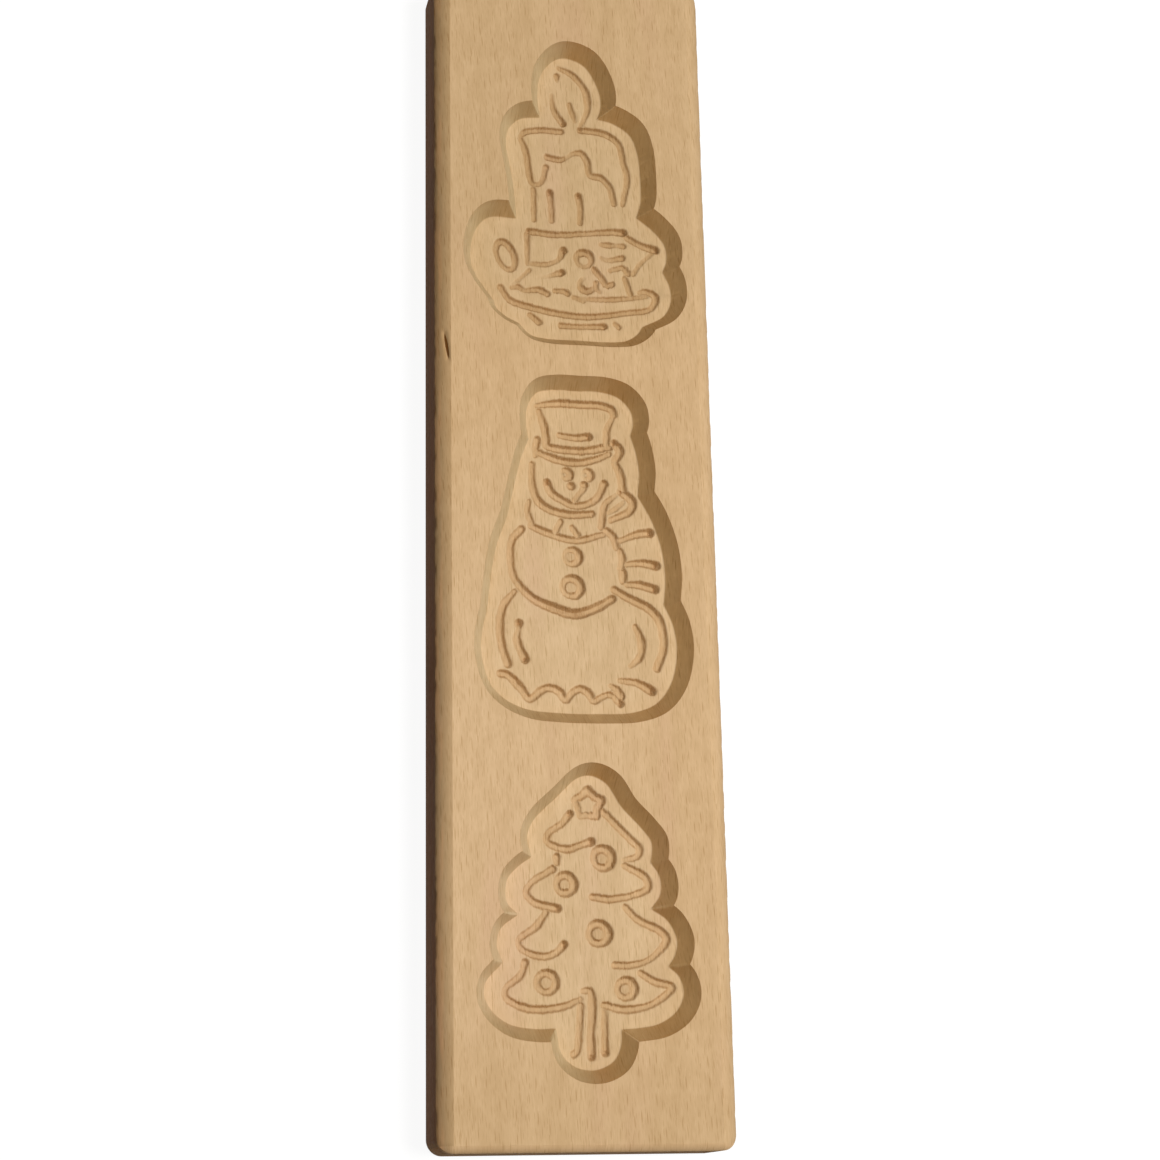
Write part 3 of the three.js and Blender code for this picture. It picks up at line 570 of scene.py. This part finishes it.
def wearEdges(points):
    # the line between the arc and the side is a little ragged, and the left edge has its split
    sideTop = edgeArc()[1]
    out, far, flat = outFrom(points)[1:]
    around = points[:, 0] + points[:, 1]
    ragged = np.exp(-(((points[:, 2] - sideTop) / 0.35) ** 2)) * (far > 0.1)
    bite = board["edgeTorn"] * np.maximum(softNoise(around, around * 0, 1.9, 1, 11), 0)
    points[:, :2] -= out * (bite * ragged)[:, None]
    a, b = np.array(slit["ends"])
    t = np.clip((points[:, :2] - a) @ (b - a) / ((b - a) @ (b - a)), 0, 1)
    away = np.linalg.norm(points[:, :2] - a - t[:, None] * (b - a), axis=1)
    onArc = np.clip((far - flat) / 0.8, 0, 1) * (points[:, 2] > sideTop)
    points[:, 2] -= slit["deep"] * np.exp(-((away / slit["wide"] * 1.6) ** 2)) * onArc
    return points


def newObject(name, data):
    thing = bpy.data.objects.new(name, data)
    bpy.context.scene.collection.objects.link(thing)
    return thing


def meshFrom(points, triangles, quads):
    corners = np.concatenate([np.ravel(triangles), np.ravel(quads)]).astype(np.int32)
    sizes = np.concatenate([np.full(len(triangles), 3), np.full(len(quads), 4)])
    mesh = bpy.data.meshes.new("carved_board")
    mesh.vertices.add(len(points))
    mesh.vertices.foreach_set("co", (points * mm).ravel())
    mesh.loops.add(len(corners))
    mesh.loops.foreach_set("vertex_index", corners)
    mesh.polygons.add(len(sizes))
    mesh.polygons.foreach_set("loop_start", np.concatenate([[0], np.cumsum(sizes)[:-1]]).astype(np.int32))
    mesh.update(calc_edges=True)
    mesh.validate()
    return mesh


def splitQuads(corner, heights):
    # each quad of the grid is cut along the diagonal that climbs less, so that lines stay lines
    a, b, c, d = corner[:-1, :-1], corner[:-1, 1:], corner[1:, 1:], corner[1:, :-1]
    za, zb, zc, zd = [heights.ravel()[part] for part in (a, b, c, d)]
    straight = np.abs(za - zc) <= np.abs(zb - zd)
    first = np.where(straight[..., None], np.stack([a, b, c], -1), np.stack([a, b, d], -1))
    second = np.where(straight[..., None], np.stack([a, c, d], -1), np.stack([b, c, d], -1))
    return np.concatenate([first.reshape(-1, 3), second.reshape(-1, 3)])


def cornerFan(middle, first, place, around):
    # the triangles between a corner of the grid and the ring's points round it
    spots = [first + (place + m) % around for m in range(board["cornerSteps"] + 1)]
    return [(middle, a, b) for a, b in zip(spots, spots[1:])]


def makeBoard():
    heights = carve()
    points = np.column_stack([placeX.ravel(), placeY.ravel(), heights.ravel()])
    number = np.arange(rows * columns).reshape(rows, columns)
    carved = splitQuads(number, heights)

    coarseX, coarseY = gridX[::stride], gridY[::stride]
    rim = (number[0], number[:, -1], number[-1, ::-1], number[::-1, 0])
    rings = [ringOf(out, z, coarseX, coarseY) for out, z in edgeProfile()]
    around = len(rings[0])
    first = len(points)
    points = np.vstack([points, wearEdges(np.vstack(rings))])

    # the fine border of the grid is joined to the first, coarser ring
    triangles, place = [], 0
    for side in rim:
        spans = (len(side) - 1) // stride
        for k in range(spans):
            near = side[stride * k:stride * (k + 1) + 1]
            a, b = first + place + k, first + place + k + 1
            half = stride // 2
            triangles += [(near[m], a, near[m + 1]) for m in range(half)]
            triangles.append((near[half], a, b))
            triangles += [(near[m], b, near[m + 1]) for m in range(half, stride)]
        triangles += cornerFan(side[-1], first, place + spans, around)
        place += spans + board["cornerSteps"]

    quads = []
    for k in range(len(rings) - 1):
        a, b = first + k * around, first + (k + 1) * around
        quads += [(a + i, b + i, b + (i + 1) % around, a + (i + 1) % around) for i in range(around)]

    # the back, a coarse grid with the same spacing as the last ring
    backX, backY = np.meshgrid(coarseX, coarseY)
    under = len(points) + np.arange(backX.size).reshape(backX.shape)
    points = np.vstack([points, np.column_stack([backX.ravel(), backY.ravel(), np.zeros(backX.size)])])
    squares = np.stack([under[:-1, :-1], under[1:, :-1], under[1:, 1:], under[:-1, 1:]], -1)
    quads += squares.reshape(-1, 4).tolist()
    last, place = first + (len(rings) - 1) * around, 0
    for side in (under[0], under[:, -1], under[-1, ::-1], under[::-1, 0]):
        spans = len(side) - 1
        quads += [(last + place + k, side[k], side[k + 1], last + place + k + 1) for k in range(spans)]
        fan = cornerFan(side[-1], last, place + spans, around)
        triangles += [(a, middle, b) for middle, a, b in fan]
        place += spans + board["cornerSteps"]

    mesh = meshFrom(points, np.concatenate([carved, np.array(triangles)]), np.array(quads))
    print("board mesh", len(mesh.vertices), "points,", len(mesh.polygons), "faces")
    return newObject("carved_board", mesh)


def thinOut(piece):
    # fewer faces where the board is flat, most of them kept in the carving
    triangles = sum(len(face.vertices) - 2 for face in piece.data.polygons)
    thin = piece.modifiers.new("thin", "DECIMATE")
    thin.ratio = board["faces"] / triangles
    thin.use_collapse_triangulate = True
    shown = piece.evaluated_get(bpy.context.evaluated_depsgraph_get())
    thinned = bpy.data.meshes.new_from_object(shown)
    piece.modifiers.remove(thin)
    old = piece.data
    piece.data = thinned
    bpy.data.meshes.remove(old)
    thinned.name = "carved_board"
    print("thinned to", len(thinned.polygons), "faces")


def readAll(items, name, kind=int, width=1):
    values = np.empty(len(items) * width, kind)
    items.foreach_get(name, values)
    return values


def pointsOf(mesh):
    return readAll(mesh.vertices, "co", float, 3).reshape(-1, 3) / mm


def keepCreases(piece):
    # crisp lines at the rims, in the grooves and on both sides of the arc round the face
    mesh = piece.data
    mesh.shade_smooth()
    mesh.set_sharp_from_angle(angle=math.radians(board["creaseAngle"]))
    at = pointsOf(mesh)
    out, far, flat = outFrom(at)[1:]
    sideTop = boardThickness - (boardThickness - edgeArc()[1]) * arcShare(out)
    onFace = (np.abs(far - flat) < 0.04) & (at[:, 2] > boardThickness - 0.02)
    onSide = (np.abs(at[:, 2] - sideTop) < 0.04) & (far > board["cornerRadius"] - 0.3)
    ends = readAll(mesh.edges, "vertices", np.int32, 2).reshape(-1, 2)
    crisp = readAll(mesh.edges, "use_edge_sharp", bool)
    crisp |= onFace[ends].all(axis=1) | onSide[ends].all(axis=1)
    mesh.edges.foreach_set("use_edge_sharp", crisp)
    print("crisp edges", int(crisp.sum()))


def skinMap(piece):
    # the face and the four sides are laid out flat as one sheet, and the back as another beside it
    gap = 4
    mesh = piece.data
    at = pointsOf(mesh)
    nearest, out, far, flat = outFrom(at)
    flatTo, sideTop, start, end = edgeArc()
    arc, ease, z = board["edgeRadius"], board["backEase"], at[:, 2]
    size = arcShare(out)
    drop = (boardThickness - z) / np.maximum(size, 0.1)
    turned = np.arccos(np.clip(math.cos(start) - drop / arc, math.cos(end), math.cos(start)))
    upright = np.maximum(drop - (boardThickness - sideTop), 0) * size
    outside = far > flat - 0.01
    run = np.where(outside, flat + arc * size * (turned - start) + upright, far)
    run = run + np.clip(board["cornerRadius"] - far, 0, ease) * (z < ease) * outside
    sheet = nearest + out * run[:, None]
    reach = arc * (end - start) + boardThickness + ease
    wide, tall = halfWidth + flatTo[0] + reach, halfLength + flatTo[1] + reach
    whole = 2 * tall + gap
    back = np.column_stack([2 * wide + boardWidth / 2 + gap - at[:, 0], at[:, 1] + tall]) / whole
    sheet = (sheet + (wide, tall)) / whole
    corners = readAll(mesh.loops, "vertex_index")
    owner = np.repeat(np.arange(len(mesh.polygons)), readAll(mesh.polygons, "loop_total"))
    highest = np.zeros(len(mesh.polygons))
    np.maximum.at(highest, owner, z[corners])
    under = highest[owner] < 0.02
    sheets = np.where(under[:, None], back[corners], sheet[corners])
    mesh.uv_layers.new(name="OFBake").data.foreach_set("uv", sheets.ravel())
    print("skin map spans", np.round([sheet.min(), sheet.max(), back.max()], 3))


# Flat sawn beech: soft clouds and bands along the board, fine streaks, short dark and light flecks

beech = {
    "light": (0.67, 0.463, 0.259),
    "dark": (0.585, 0.392, 0.206),
    "pink": (0.64, 0.42, 0.246),
    "fleck": (0.76, 0.69, 0.58),      # share of the colour left in a dark fleck
    "shine": (1.06, 1.08, 1.12),      # and in a light one
    "endGrain": (0.81, 0.73, 0.63),   # the same where the wood is cut across
    "cavity": (1.0, 1.03, 1.05),      # in the cavities
    # painted light and shade on the cavity walls: the first where they face the lamp, the second where they
    # face away from it
    "litWall": (0.88, 0.93, 0.93),
    "shadedWall": (0.88, 0.80, 0.64),
    "line": (0.87, 0.81, 0.74),       # at the bottom of the engraved lines
    "lineShadedSide": (0.67, 0.57, 0.45),   # painted shade on their upper right sides, which face away from the light
    "candleLine": (0.77, 0.69, 0.59),
    "rested": (0.62, 0.51, 0.40),     # where the cutter rested
    "leftSideShade": (0.62, 0.52, 0.50),   # painted shade on the left side of the board, which faces away from the lamp
    "leftEdgeShade": (0.85, 0.82, 0.76),       # painted shade on its round left edge, which faces away from the lamp
    "edgeLightBand": (1.22, 1.12, 1.08),     # painted light in patchy bands along its outer part
    "paintedMiddleLight": (1.035, 1.05, 1.085),     # painted light round the middle of the board, where the lamp's light is strongest
    "paintedEndShade": (0.93, 0.935, 0.925),  # painted shade near both ends of the face, where the lamp's light falls off
    "endArcTint": (1.0, 0.98, 0.97),      # on the round edge of both ends
    "endFaceLight": (1.3, 1.26, 1.2),      # painted light on the ends themselves, which the lamp hardly reaches
    # painted shade in the split in the left edge, for the dark inside it
    "slit": (0.25, 0.15, 0.06),
    "roughness": 0.75,
    "specular": 0.1,
    "wander": 3.0,                    # how far the grain drifts sideways, mm
    "wanderSize": (30, 140, 30),      # of one drift, mm across, along and down
    "pinkSize": (12, 60, 12),         # of one pink patch
    "edgeLightPatchSize": (3, 22, 2),
    "tornSize": (0.3, 1.4, 0.4),      # of the torn fibres in the lines
    "bump": 0.02,                     # mm
    "fuzzBump": 0.04,                 # the same for torn fibres in the lines
}

# patterns of the grain: size in mm (across, along, down), how finely broken, and share of the tone
grain = {
    "bands": ((8, 150, 9), 2.0, 0.22),
    "clouds": ((3.5, 7, 4), 2.0, 0.22),
    "mottle": ((1.6, 14, 4), 3.0, 0.3),
    "streaks": ((0.34, 5, 0.8), 2.0, 0.35),
}

# flecks: room for each, its size, and the strength of the weakest
flecks = {
    "large": ((1.5, 4.6, 9), (0.15, 1.9, 9), 0.1),
    "small": ((0.7, 2.8, 6), (0.11, 1.1, 6), 0.1),
    "bright": ((0.9, 3.6, 8), (0.15, 1.5, 8), 0.2),
    "brightAside": (5.3, 2.1, 4.0),   # keeps the bright ones off the dark ones
    "lean": 0.05,                     # to the grain
}

# where a tint begins and where it is full, in mm; x and y are from the middle of the board
edgeX, endY = boardWidth / 2, boardLength / 2
zones = {
    # the painted light round the middle and the painted shade near both ends
    "middleLightTop": (40, -40),
    "middleLightFoot": (-150, -120),
    "middleLightRight": (32, 5),
    "endShadeTop": (40, 85),
    "endShadeFoot": (-110, -endY),
    "ends": (endY - 1.9, endY - 1.6),
    "endFaceLight": (boardThickness - 2.0, boardThickness - 1.3),  # from the end itself, with full painted light, to its round edge
    "carvedWide": (edgeX - 5.1, edgeX - 5.3),
    "carvedLong": (endY - 8, endY - 9),
    "cavity": (boardThickness - 0.4, boardThickness - 1.0),
    "wall": (floorZ, floorZ + 0.3),
    "leftEdge": (4.1 - edgeX, 3.7 - edgeX),
    # the outer band of the left edge, where painted light goes in patches
    "edgeLightBand": (2.2 - edgeX, 1.2 - edgeX),
    "line": (floorZ - 0.05, floorZ - 0.4),
    "rested": (floorZ - 1.2, floorZ - 1.45),
    "candle": (45, 50),
}


def newNode(kind, *values):
    # a node in the tree that one of the values comes from
    tree = next(value.id_data for value in values if isinstance(value, bpy.types.NodeSocket))
    return tree.nodes.new("ShaderNode" + kind)


def feed(socket, value):
    if isinstance(value, bpy.types.NodeSocket):
        socket.id_data.links.new(value, socket)
    elif value is not None:
        socket.default_value = value


def mathNode(operation, a, b=None):
    step = newNode("Math", a, b)
    step.operation = operation
    feed(step.inputs[0], a)
    feed(step.inputs[1], b)
    return step.outputs[0]


def plus(first, *others):
    for other in others:
        first = mathNode("ADD", first, other)
    return first


def times(first, *others):
    for other in others:
        first = mathNode("MULTIPLY", first, other)
    return first


def minus(a, b):
    return mathNode("SUBTRACT", a, b)


def vectorNode(operation, a, b=None):
    step = newNode("VectorMath", a, b)
    step.operation = operation
    feed(step.inputs[0], a)
    feed(step.inputs[3 if operation == "SCALE" else 1], b)
    return step.outputs["Value" if operation in ("LENGTH", "DOT_PRODUCT") else "Vector"]


def split(vector):
    parts = newNode("SeparateXYZ", vector)
    feed(parts.inputs[0], vector)
    return parts.outputs


def joined(x, y=0.0):
    whole = newNode("CombineXYZ", x, y)
    feed(whole.inputs[0], x)
    feed(whole.inputs[1], y)
    return whole.outputs[0]


def grainNoise(place, size, detail):
    noise = newNode("TexNoise", place)
    feed(noise.inputs["Vector"], vectorNode("DIVIDE", place, size))
    noise.inputs["Scale"].default_value = 1.0
    noise.inputs["Detail"].default_value = detail
    noise.inputs["Roughness"].default_value = 0.55
    return noise.outputs["Fac"]


def mixColour(share, a, b, blend="MIX"):
    mix = newNode("Mix", share, a, b)
    mix.data_type = "RGBA"
    mix.blend_type = blend
    mix.clamp_factor = True
    feed(mix.inputs[0], share)
    for socket, value in ((mix.inputs[6], a), (mix.inputs[7], b)):
        feed(socket, (*value, 1.0) if isinstance(value, tuple) else value)
    return mix.outputs[2]


def ramp(value, start, end):
    # from 0 at start to 1 at end, smoothly
    step = newNode("MapRange", value)
    step.interpolation_type = "SMOOTHSTEP"
    feed(step.inputs["Value"], value)
    step.inputs["From Min"].default_value = start
    step.inputs["From Max"].default_value = end
    return step.outputs["Result"]


def tinted(colour, share, tint):
    # the colour times the tint, where share is 1
    white = (1.0, 1.0, 1.0)
    return mixColour(1.0, colour, mixColour(share, white, tint), "MULTIPLY")


def flecksOf(place, cell, fleck, weakest):
    # spindle-shaped flecks, one to a cell, of uneven strength
    cells = newNode("TexVoronoi", place)
    cells.feature = "F1"
    cells.inputs["Scale"].default_value = 1.0
    scaled = vectorNode("DIVIDE", place, cell)
    feed(cells.inputs["Vector"], scaled)
    away = vectorNode("SUBTRACT", scaled, cells.outputs["Position"])
    ratio = tuple(c / f for c, f in zip(cell, fleck))
    away = vectorNode("LENGTH", vectorNode("MULTIPLY", away, ratio))
    mask = ramp(away, 1.15, 0.45)
    shade = newNode("SeparateColor", place)
    feed(shade.inputs[0], cells.outputs["Color"])
    return times(mask, plus(times(shade.outputs[0], 1 - weakest), weakest))


def slitMask(spot):
    # 1 on the split in the left edge, from its distance to the line between its ends
    (ax, ay), (bx, by) = slit["ends"]
    reach = math.hypot(bx - ax, by - ay)
    ux, uy = (bx - ax) / reach, (by - ay) / reach
    flat = vectorNode("MULTIPLY", spot, (1.0, 1.0, 0.0))
    away = vectorNode("SUBTRACT", flat, ((ax + bx) / 2, (ay + by) / 2, 0.0))
    along = mathNode("DIVIDE", vectorNode("DOT_PRODUCT", away, (ux, uy, 0.0)), reach / 2)
    aside = mathNode("DIVIDE", vectorNode("DOT_PRODUCT", away, (-uy, ux, 0.0)), slit["wide"] / 2)
    size = vectorNode("LENGTH", joined(along, aside))
    above = ramp(split(spot)["Z"], edgeArc()[1] - 0.3, edgeArc()[1])
    return times(ramp(size, 1.1, 0.7), above)


def grainColour(spot, place):
    # the wood's own colour, and the height of its streaks and flecks
    drift = minus(grainNoise(spot, beech["wanderSize"], 1.0), 0.5)
    drifted = vectorNode("ADD", spot, joined(times(drift, 2 * beech["wander"])))
    pattern = {name: grainNoise(drifted, *grain[name][:2]) for name in grain}
    for name in ("bands", "clouds"):
        pattern[name] = ramp(pattern[name], 0.3, 0.7)
    tone = plus(*[times(pattern[name], grain[name][2]) for name in grain])
    colour = mixColour(ramp(tone, 0.25, 0.85), beech["dark"], beech["light"])
    pinkish = ramp(grainNoise(drifted, beech["pinkSize"], 1.0), 0.5, 0.9)
    colour = mixColour(pinkish, colour, beech["pink"])

    leaning = vectorNode("ADD", drifted, joined(times(place["Y"], flecks["lean"])))
    large = flecksOf(leaning, *flecks["large"])
    small = flecksOf(leaning, *flecks["small"])
    bright = flecksOf(vectorNode("ADD", leaning, flecks["brightAside"]), *flecks["bright"])
    dark = mathNode("MAXIMUM", large, times(small, 0.6))
    colour = tinted(colour, dark, beech["fleck"])
    colour = tinted(colour, bright, beech["shine"])
    return colour, minus(times(pattern["streaks"], 0.5), times(dark, 0.4))


# painted light and shade where the lamp reaches more or less: lighter round the middle and on the ends,
# darker near the ends, on cavity walls facing away from the lamp and on the left edge and side; the
# cavities differ a little too
def placeTints(colour, spot, place, facing):
    # the ends, the middle, the cavities and the worn left edge differ a little
    x, y, z = place["X"], place["Y"], place["Z"]
    sizeX, sizeY = mathNode("ABSOLUTE", x), mathNode("ABSOLUTE", y)

    # cut across the fibres the wood is darker, but not at both ends, which get painted light instead
    atEnd = ramp(sizeY, *zones["ends"])
    notEnd = minus(1.0, atEnd)
    across = ramp(mathNode("ABSOLUTE", facing["Y"]), 0.25, 0.9)
    colour = tinted(colour, times(across, notEnd), beech["endGrain"])
    # painted light on the ends, full on the end faces, hardly any on their round edge
    endLight = mixColour(ramp(z, *zones["endFaceLight"]), beech["endFaceLight"], beech["endArcTint"])
    colour = tinted(colour, atEnd, endLight)

    # painted light round the middle of the board, and painted shade near both ends where the lamp's light
    # falls off
    paintedMiddleLight = times(ramp(y, *zones["middleLightTop"]), ramp(y, *zones["middleLightFoot"]))
    paintedMiddleLight = times(paintedMiddleLight, ramp(x, *zones["middleLightRight"]))
    colour = tinted(colour, paintedMiddleLight, beech["paintedMiddleLight"])
    atFoot = times(ramp(y, *zones["endShadeFoot"]), 0.8)
    paintedEndShade = mathNode("MAXIMUM", ramp(y, *zones["endShadeTop"]), atFoot)
    colour = tinted(colour, paintedEndShade, beech["paintedEndShade"])

    inside = times(ramp(sizeX, *zones["carvedWide"]), ramp(sizeY, *zones["carvedLong"]))
    steep = ramp(facing["Z"], 0.9, 0.7)
    wall = times(steep, ramp(z, *zones["wall"]), inside)
    # painted light on cavity walls facing the lamp, painted shade on those facing away from it
    litAndShadedWall = mixColour(ramp(facing["X"], 0.3, -0.3), beech["litWall"], beech["shadedWall"])
    colour = tinted(colour, wall, litAndShadedWall)
    colour = tinted(colour, times(ramp(z, *zones["cavity"]), inside), beech["cavity"])

    # painted shade on the round left edge and the left side, which face away from the lamp, and painted
    # light in patches along the edge's outer band
    edge = times(ramp(x, *zones["leftEdge"]), notEnd)
    colour = tinted(colour, edge, beech["leftEdgeShade"])
    onSide = ramp(facing["X"], -0.9, -0.98)
    colour = tinted(colour, times(edge, onSide), beech["leftSideShade"])
    patchy = ramp(grainNoise(spot, beech["edgeLightPatchSize"], 2.0), 0.35, 0.65)
    return tinted(colour, times(ramp(x, *zones["edgeLightBand"]), patchy), beech["edgeLightBand"])


def lineTints(colour, place, normal, inLine, torn):
    # darker in the engraved lines and where the cutter rested, with painted shade on their steep sides that
    # face away from the light
    atCandle = ramp(place["Y"], *zones["candle"])
    tint = mixColour(atCandle, beech["line"], beech["candleLine"])
    fromLight = vectorNode("DOT_PRODUCT", normal, (0.8, 0.6, 0.0))
    steep = ramp(split(normal)["Z"], 0.93, 0.76)
    tint = mixColour(times(steep, ramp(fromLight, 0.1, -0.3)), tint, beech["lineShadedSide"])
    tint = mixColour(ramp(place["Z"], *zones["rested"]), tint, beech["rested"])
    frayed = plus(times(ramp(torn, 0.3, 0.7), 0.6), 0.6)
    return tinted(colour, times(inLine, frayed), tint)


def newMaterial(name, roughness, specular):
    material = bpy.data.materials.new(name)
    material.use_nodes = True
    shader = material.node_tree.nodes["Principled BSDF"]
    shader.inputs["Roughness"].default_value = roughness
    shader.inputs["Specular IOR Level"].default_value = specular
    return material, material.node_tree, shader


def beechWood():
    wood, tree, shader = newMaterial("beech", beech["roughness"], beech["specular"])
    coordinates = tree.nodes.new("ShaderNodeTexCoord")
    spot = vectorNode("SCALE", coordinates.outputs["Object"], 1 / mm)
    normal = coordinates.outputs["Normal"]
    place = split(spot)
    inLine = ramp(place["Z"], *zones["line"])
    torn = grainNoise(spot, beech["tornSize"], 2.0)

    colour, relief = grainColour(spot, place)
    colour = placeTints(colour, spot, place, split(normal))
    colour = lineTints(colour, place, normal, inLine, torn)
    # painted shade in the split, for the dark inside it
    colour = tinted(colour, slitMask(spot), beech["slit"])
    feed(shader.inputs["Base Color"], colour)

    relief = times(relief, beech["bump"])
    fuzz = times(torn, inLine, beech["fuzzBump"])
    bump = tree.nodes.new("ShaderNodeBump")
    bump.inputs["Distance"].default_value = mm
    feed(bump.inputs["Height"], plus(relief, fuzz))
    feed(shader.inputs["Normal"], bump.outputs["Normal"])
    return wood


# Studio: one soft lamp from the right, a little warm light all round, and a white floor

studio = {
    "lampFrom": (0.35, -0.03, 0.93),
    "lampAway": 2.4,
    "lampSize": 1.0,
    "lampPower": 54.5,
    "roomLight": 0.2,
    "roomTint": (1.0, 0.78, 0.5),
    "roomLow": 0.15,        # how much of it is left at the height of the floor
    "floorSize": 6.0,
    "floorDown": 0.0001,    # keeps the floor just clear of the board's back
    "floorGlow": 0.93,      # the floor as the camera sees it
    "floorTone": 0.13,
    "floorBounce": 0.03,    # the floor as the wood sees it
    "cameraAt": (-0.12485, -0.17853, 0.58008),
    "cameraAim": (0.0, -0.01595, 0.02),
    "cameraRoll": 1.11,
    "lens": 71.38,
}


def seenDirectly(tree):
    # 1 for the camera, for reflections and through glass, 0 for the light on the wood
    path = tree.nodes.new("ShaderNodeLightPath")
    seen = mathNode("MAXIMUM", path.outputs["Is Camera Ray"], path.outputs["Is Glossy Ray"])
    return mathNode("MAXIMUM", seen, path.outputs["Is Transmission Ray"])


def makeRoom():
    world = bpy.data.worlds.new("room")
    bpy.context.scene.world = world
    world.use_nodes = True
    tree = world.node_tree
    sky = tree.nodes["Background"]
    seen = seenDirectly(tree)
    feed(sky.inputs["Color"], mixColour(seen, studio["roomTint"], (1.0, 1.0, 1.0)))
    direction = split(tree.nodes.new("ShaderNodeTexCoord").outputs["Generated"])
    upward = mathNode("MAXIMUM", direction["Z"], 0.0)
    rise = times(upward, (1 - studio["roomLow"]) * studio["roomLight"])
    glow = plus(rise, studio["roomLow"] * studio["roomLight"])
    unseen = times(minus(1.0, seen), glow)
    feed(sky.inputs["Strength"], plus(seen, unseen))


def makeFloor():
    size = studio["floorSize"] / 2
    mesh = bpy.data.meshes.new("floor")
    corners = [(-size, -size, 0), (size, -size, 0), (size, size, 0), (-size, size, 0)]
    mesh.from_pydata(corners, [], [(0, 1, 2, 3)])
    floor = newObject("floor", mesh)
    floor.location.z = -studio["floorDown"]
    paint, tree, shader = newMaterial("whiteFloor", 1.0, 0.0)
    seen = seenDirectly(tree)
    tone = mixColour(seen, (studio["floorBounce"],) * 3, (studio["floorTone"],) * 3)
    feed(shader.inputs["Base Color"], tone)
    shader.inputs["Emission Color"].default_value = (1.0, 1.0, 1.0, 1.0)
    feed(shader.inputs["Emission Strength"], times(seen, studio["floorGlow"]))
    mesh.materials.append(paint)


def makeLamp():
    lamp = bpy.data.lights.new("lamp", "AREA")
    lamp.shape = "DISK"
    lamp.size = studio["lampSize"]
    lamp.energy = studio["lampPower"]
    holder = newObject("lamp", lamp)
    holder.location = Vector(studio["lampFrom"]).normalized() * studio["lampAway"]
    holder.rotation_euler = holder.location.to_track_quat("Z", "Y").to_euler()


def makeCamera():
    lens = bpy.data.cameras.new("camera")
    lens.lens = studio["lens"]
    lens.sensor_width = 36.0
    camera = newObject("camera", lens)
    place, aim = Vector(studio["cameraAt"]), Vector(studio["cameraAim"])
    look = (aim - place).normalized()
    up = (Vector((0, 1, 0)) - look.y * look).normalized()
    right = look.cross(up)
    roll = math.radians(studio["cameraRoll"])
    up, right = up * math.cos(roll) + right * math.sin(roll), right * math.cos(roll) - up * math.sin(roll)
    camera.matrix_world = Matrix.Translation(place) @ Matrix((right, up, -look)).transposed().to_4x4()
    bpy.context.scene.camera = camera


makeRoom()
makeFloor()
makeLamp()
makeCamera()
print("studio ready")

piece = makeBoard()
thinOut(piece)
keepCreases(piece)
skinMap(piece)
piece.data.materials.append(beechWood())
print("board finished in beech")

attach(piece, "root")
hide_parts("mould_board")

bpy.context.scene.view_settings.view_transform = "Standard"
